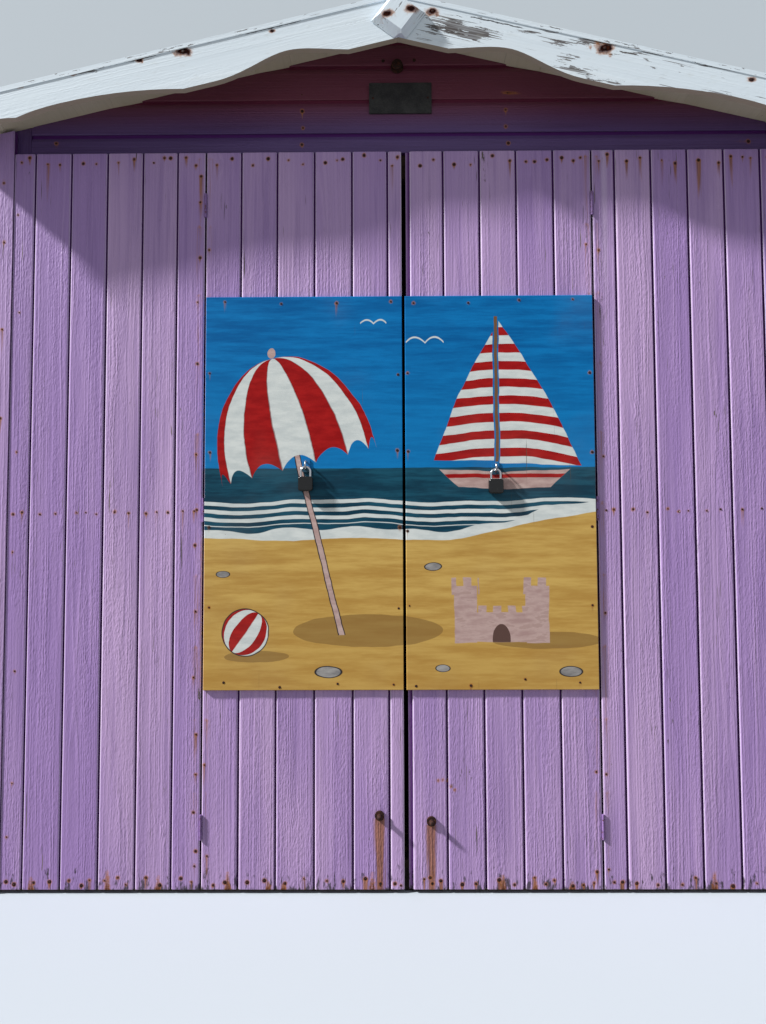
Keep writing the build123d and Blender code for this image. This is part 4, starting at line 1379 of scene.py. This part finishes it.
    # age: fine splits, knocks that show the ply, and rust from the nails
    splits = noise(place, 170, 2, 0.5, (1, 1, 0.02))
    worn = noise(place, 3.0, 3)
    split_mask = (splits + worn * 0.35).rise(0.93, 0.99)
    colour = mix(split_mask * 0.6, colour, tint(88, 76, 62))
    knocks = (noise(place, 90, 3, 0.6) + worn * 0.5).rise(1.07, 1.10)
    colour = mix(knocks, colour, tint(120, 96, 70))
    colour = mix(worn.rise(0.5, 0.8) * 0.10, colour, tint(150, 140, 130))
    tree = material.node_tree
    stain = use(
        tree, rust_stain, Color=colour, Place=place,
        Rust=painted_value(tree, "rust"), Run=painted_value(tree, "run"),
    )
    height = strokes * 0.6 + fine * 0.2 - split_mask * 0.5 - knocks * 0.6
    return finished(material, stain["Color"], strokes * 0.2 + split_mask * 0.2 + 0.38, height, 0.0005)


seaside_picture = seaside_picture()
ply_edge = sawn_timber("ply_edge", tint(150, 124, 92), tint(96, 76, 54), (0, -90, 0))
sheet_ease = 0.0015
for side, name, body in ((-1, "left_picture_board", "left_door"), (1, "right_picture_board", "right_door")):
    low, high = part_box(name)
    draw = np.random.default_rng(110 + side)
    across = np.linspace(low.x + 0.045 - side * 0.015, high.x - 0.045 - side * 0.015, 4)
    upright = np.linspace(low.z + 0.25, high.z - 0.25, 4)
    nails = [(x, z) for z in (low.z + 0.017, high.z - 0.017) for x in across]
    nails += [(x, z) for x in (low.x + 0.013, high.x - 0.013) for z in upright]
    nails = np.array(nails) + draw.normal(0, 0.006, (len(nails), 2)) * (0.6, 1)
    rust = draw.choice([0.55, 0.8, 1.0], len(nails))
    nails = np.c_[nails, rust, draw.uniform(0, 1, len(nails)) ** 3 * 0.07]

    grid = np.arange(low.x, high.x, 0.03)
    shell = plank(
        on_end(low.y), (low.x, high.x), (low.z, high.z), high.y - low.y, eased(sheet_ease),
        np.r_[low.x + sheet_ease, high.x - sheet_ease, grid, around_nails(nails[:, 0], near)],
        np.r_[np.arange(low.z, high.z, 0.03), around_nails(nails[:, 1], np.r_[near, below])],
    )
    sheet = boards(
        name + "_ply", [shell], seaside_picture, ply_edge, body, 112 + side, nails
    )
    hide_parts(name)
    nail_heads(name + "_nails", on_face(nails, low.y), body=body, radius=0.0036)


# Staples, shackles and padlocks
# Bright plated steel staples, and black coated padlocks with hard bright shackles.


def bright_steel(name, painted=False):
    """Polished plate with hair scratches and a few freckles of rust. The foot of a staple
    was painted over with the sky and the sea of the picture."""
    material, shader, place = new_finish(name)
    hair = noise(place, 900, 2, 0.5, (0.1, 1, 1))
    freckles = noise(place, 330, 2, 0.6).rise(0.68, 0.74)
    colour = mix(freckles, tint(196, 198, 202), tint(120, 80, 52))
    over = freckles * 0
    if painted:
        _, y, z = split(place)
        over = y.rise(sheet_face - 0.0042, sheet_face - 0.0036)
        colour = mix(over, colour, mix(z.rise(1.289, 1.291), tint(20, 70, 92), tint(8, 110, 176)))
    feed(shader["Metallic"], -over + 1)
    roughness = (hair * 0.15 + freckles * 0.4 + 0.15).most(over * 0.4)
    return finished(material, colour, roughness, hair, 0.0001)


def lock_coat():
    """Black coating with a faint orange-peel skin, rubbed grey in places."""
    material, _, place = new_finish("lock_coat", Specular_IOR_Level=0.5)
    skin = noise(place, 520, 2, 0.5)
    rubs = noise(place, 60, 4, 0.7).rise(0.58, 0.72)
    colour = mix(rubs * 0.5, tint(12, 12, 14), tint(52, 52, 54))
    return finished(material, colour, skin * 0.15 + rubs * 0.2 + 0.16, skin, 0.00025)


sheet_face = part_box("left_picture_board")[0].y
dress(bright_steel("staple_steel", True), "left_staple", "right_staple")
dress(bright_steel("bright_steel"), "left_shackle", "right_shackle")
dress(lock_coat(), "left_padlock", "right_padlock")


# Studio
# A pale floor that curves up behind the hut, a soft key light from the upper left, as
# the sun falls on the front, and an even white surround.
curve = np.linspace(0, pi / 2, 16)
sweep_y = np.r_[-14, 9 + 3 * np.sin(curve), 12]
sweep_z = np.r_[0, 3 - 3 * np.cos(curve), 34]
sweep_rows, sweep_reach = len(sweep_y), 22
sweep_sides = [np.c_[np.full(sweep_rows, x), sweep_y, sweep_z] for x in (-sweep_reach, sweep_reach)]
sweep_points = np.concatenate(sweep_sides)
sweep_faces = [[i, i + sweep_rows, i + sweep_rows + 1, i + 1] for i in range(sweep_rows - 1)]
backdrop = new_mesh("backdrop", sweep_points, sweep_faces)
stage_paint, stage_shader, stage_place = new_finish("stage_paint", Roughness=0.9)
stage_rays = stage_paint.node_tree.nodes.new("ShaderNodeLightPath")
stage_seen = Field(stage_rays.outputs["Is Camera Ray"])
stage_wall = split(stage_place)[2].rise(0.0, 3.0)
stage_colour = mix(stage_wall, (0.46, 0.51, 0.56, 1), (0.62, 0.69, 0.75, 1))
feed(stage_shader["Base Color"], mix(stage_seen, (0.20, 0.20, 0.20, 1), stage_colour))
backdrop.data.materials.append(stage_paint)

key = bpy.data.lights.new("key", "SUN")
key.energy = 6.0
key.angle = radians(4)
key.color = (1.0, 0.985, 0.96)
key_object = bpy.data.objects.new("key", key)
bpy.context.scene.collection.objects.link(key_object)
key_object.rotation_euler = Vector((0.73, 0.22, -0.648)).to_track_quat("-Z", "Y").to_euler()

world = bpy.data.worlds.new("surround")
bpy.context.scene.world = world
world.use_nodes = True
sky = world.node_tree.nodes["Background"]
rays = world.node_tree.nodes.new("ShaderNodeLightPath")
seen = Field(rays.outputs["Is Camera Ray"])
mirrored = Field(rays.outputs["Is Glossy Ray"]).most(Field(rays.outputs["Is Transmission Ray"]))
feed(sky.inputs["Strength"], mirrored * 0.25 + 0.38)
feed(sky.inputs["Color"], mix(seen, (0.92, 0.96, 1.0, 1), (1.32, 1.44, 1.56, 1)))


# Camera
# Set square to the front at chest height, and turned and tipped by a few degrees.
pitch, yaw, roll = radians(2.994), radians(-0.403), radians(0.21)
ahead = Vector((sin(yaw) * cos(pitch), cos(yaw) * cos(pitch), sin(pitch)))
right = ahead.cross(Vector((0, 0, 1))).normalized()
up = right.cross(ahead)
right, up = right * cos(roll) - up * sin(roll), right * sin(roll) + up * cos(roll)
camera = bpy.data.objects.new("camera", bpy.data.cameras.new("camera"))
camera.data.sensor_width = 36
camera.data.lens = 27
camera.data.clip_start = 0.05
camera.data.clip_end = 100
camera.matrix_world = Matrix.Translation((-0.0356, -3.8991, 1.0298)) @ Matrix(
    ((right.x, up.x, -ahead.x), (right.y, up.y, -ahead.y), (right.z, up.z, -ahead.z))
).to_4x4()
bpy.context.scene.collection.objects.link(camera)
bpy.context.scene.camera = camera
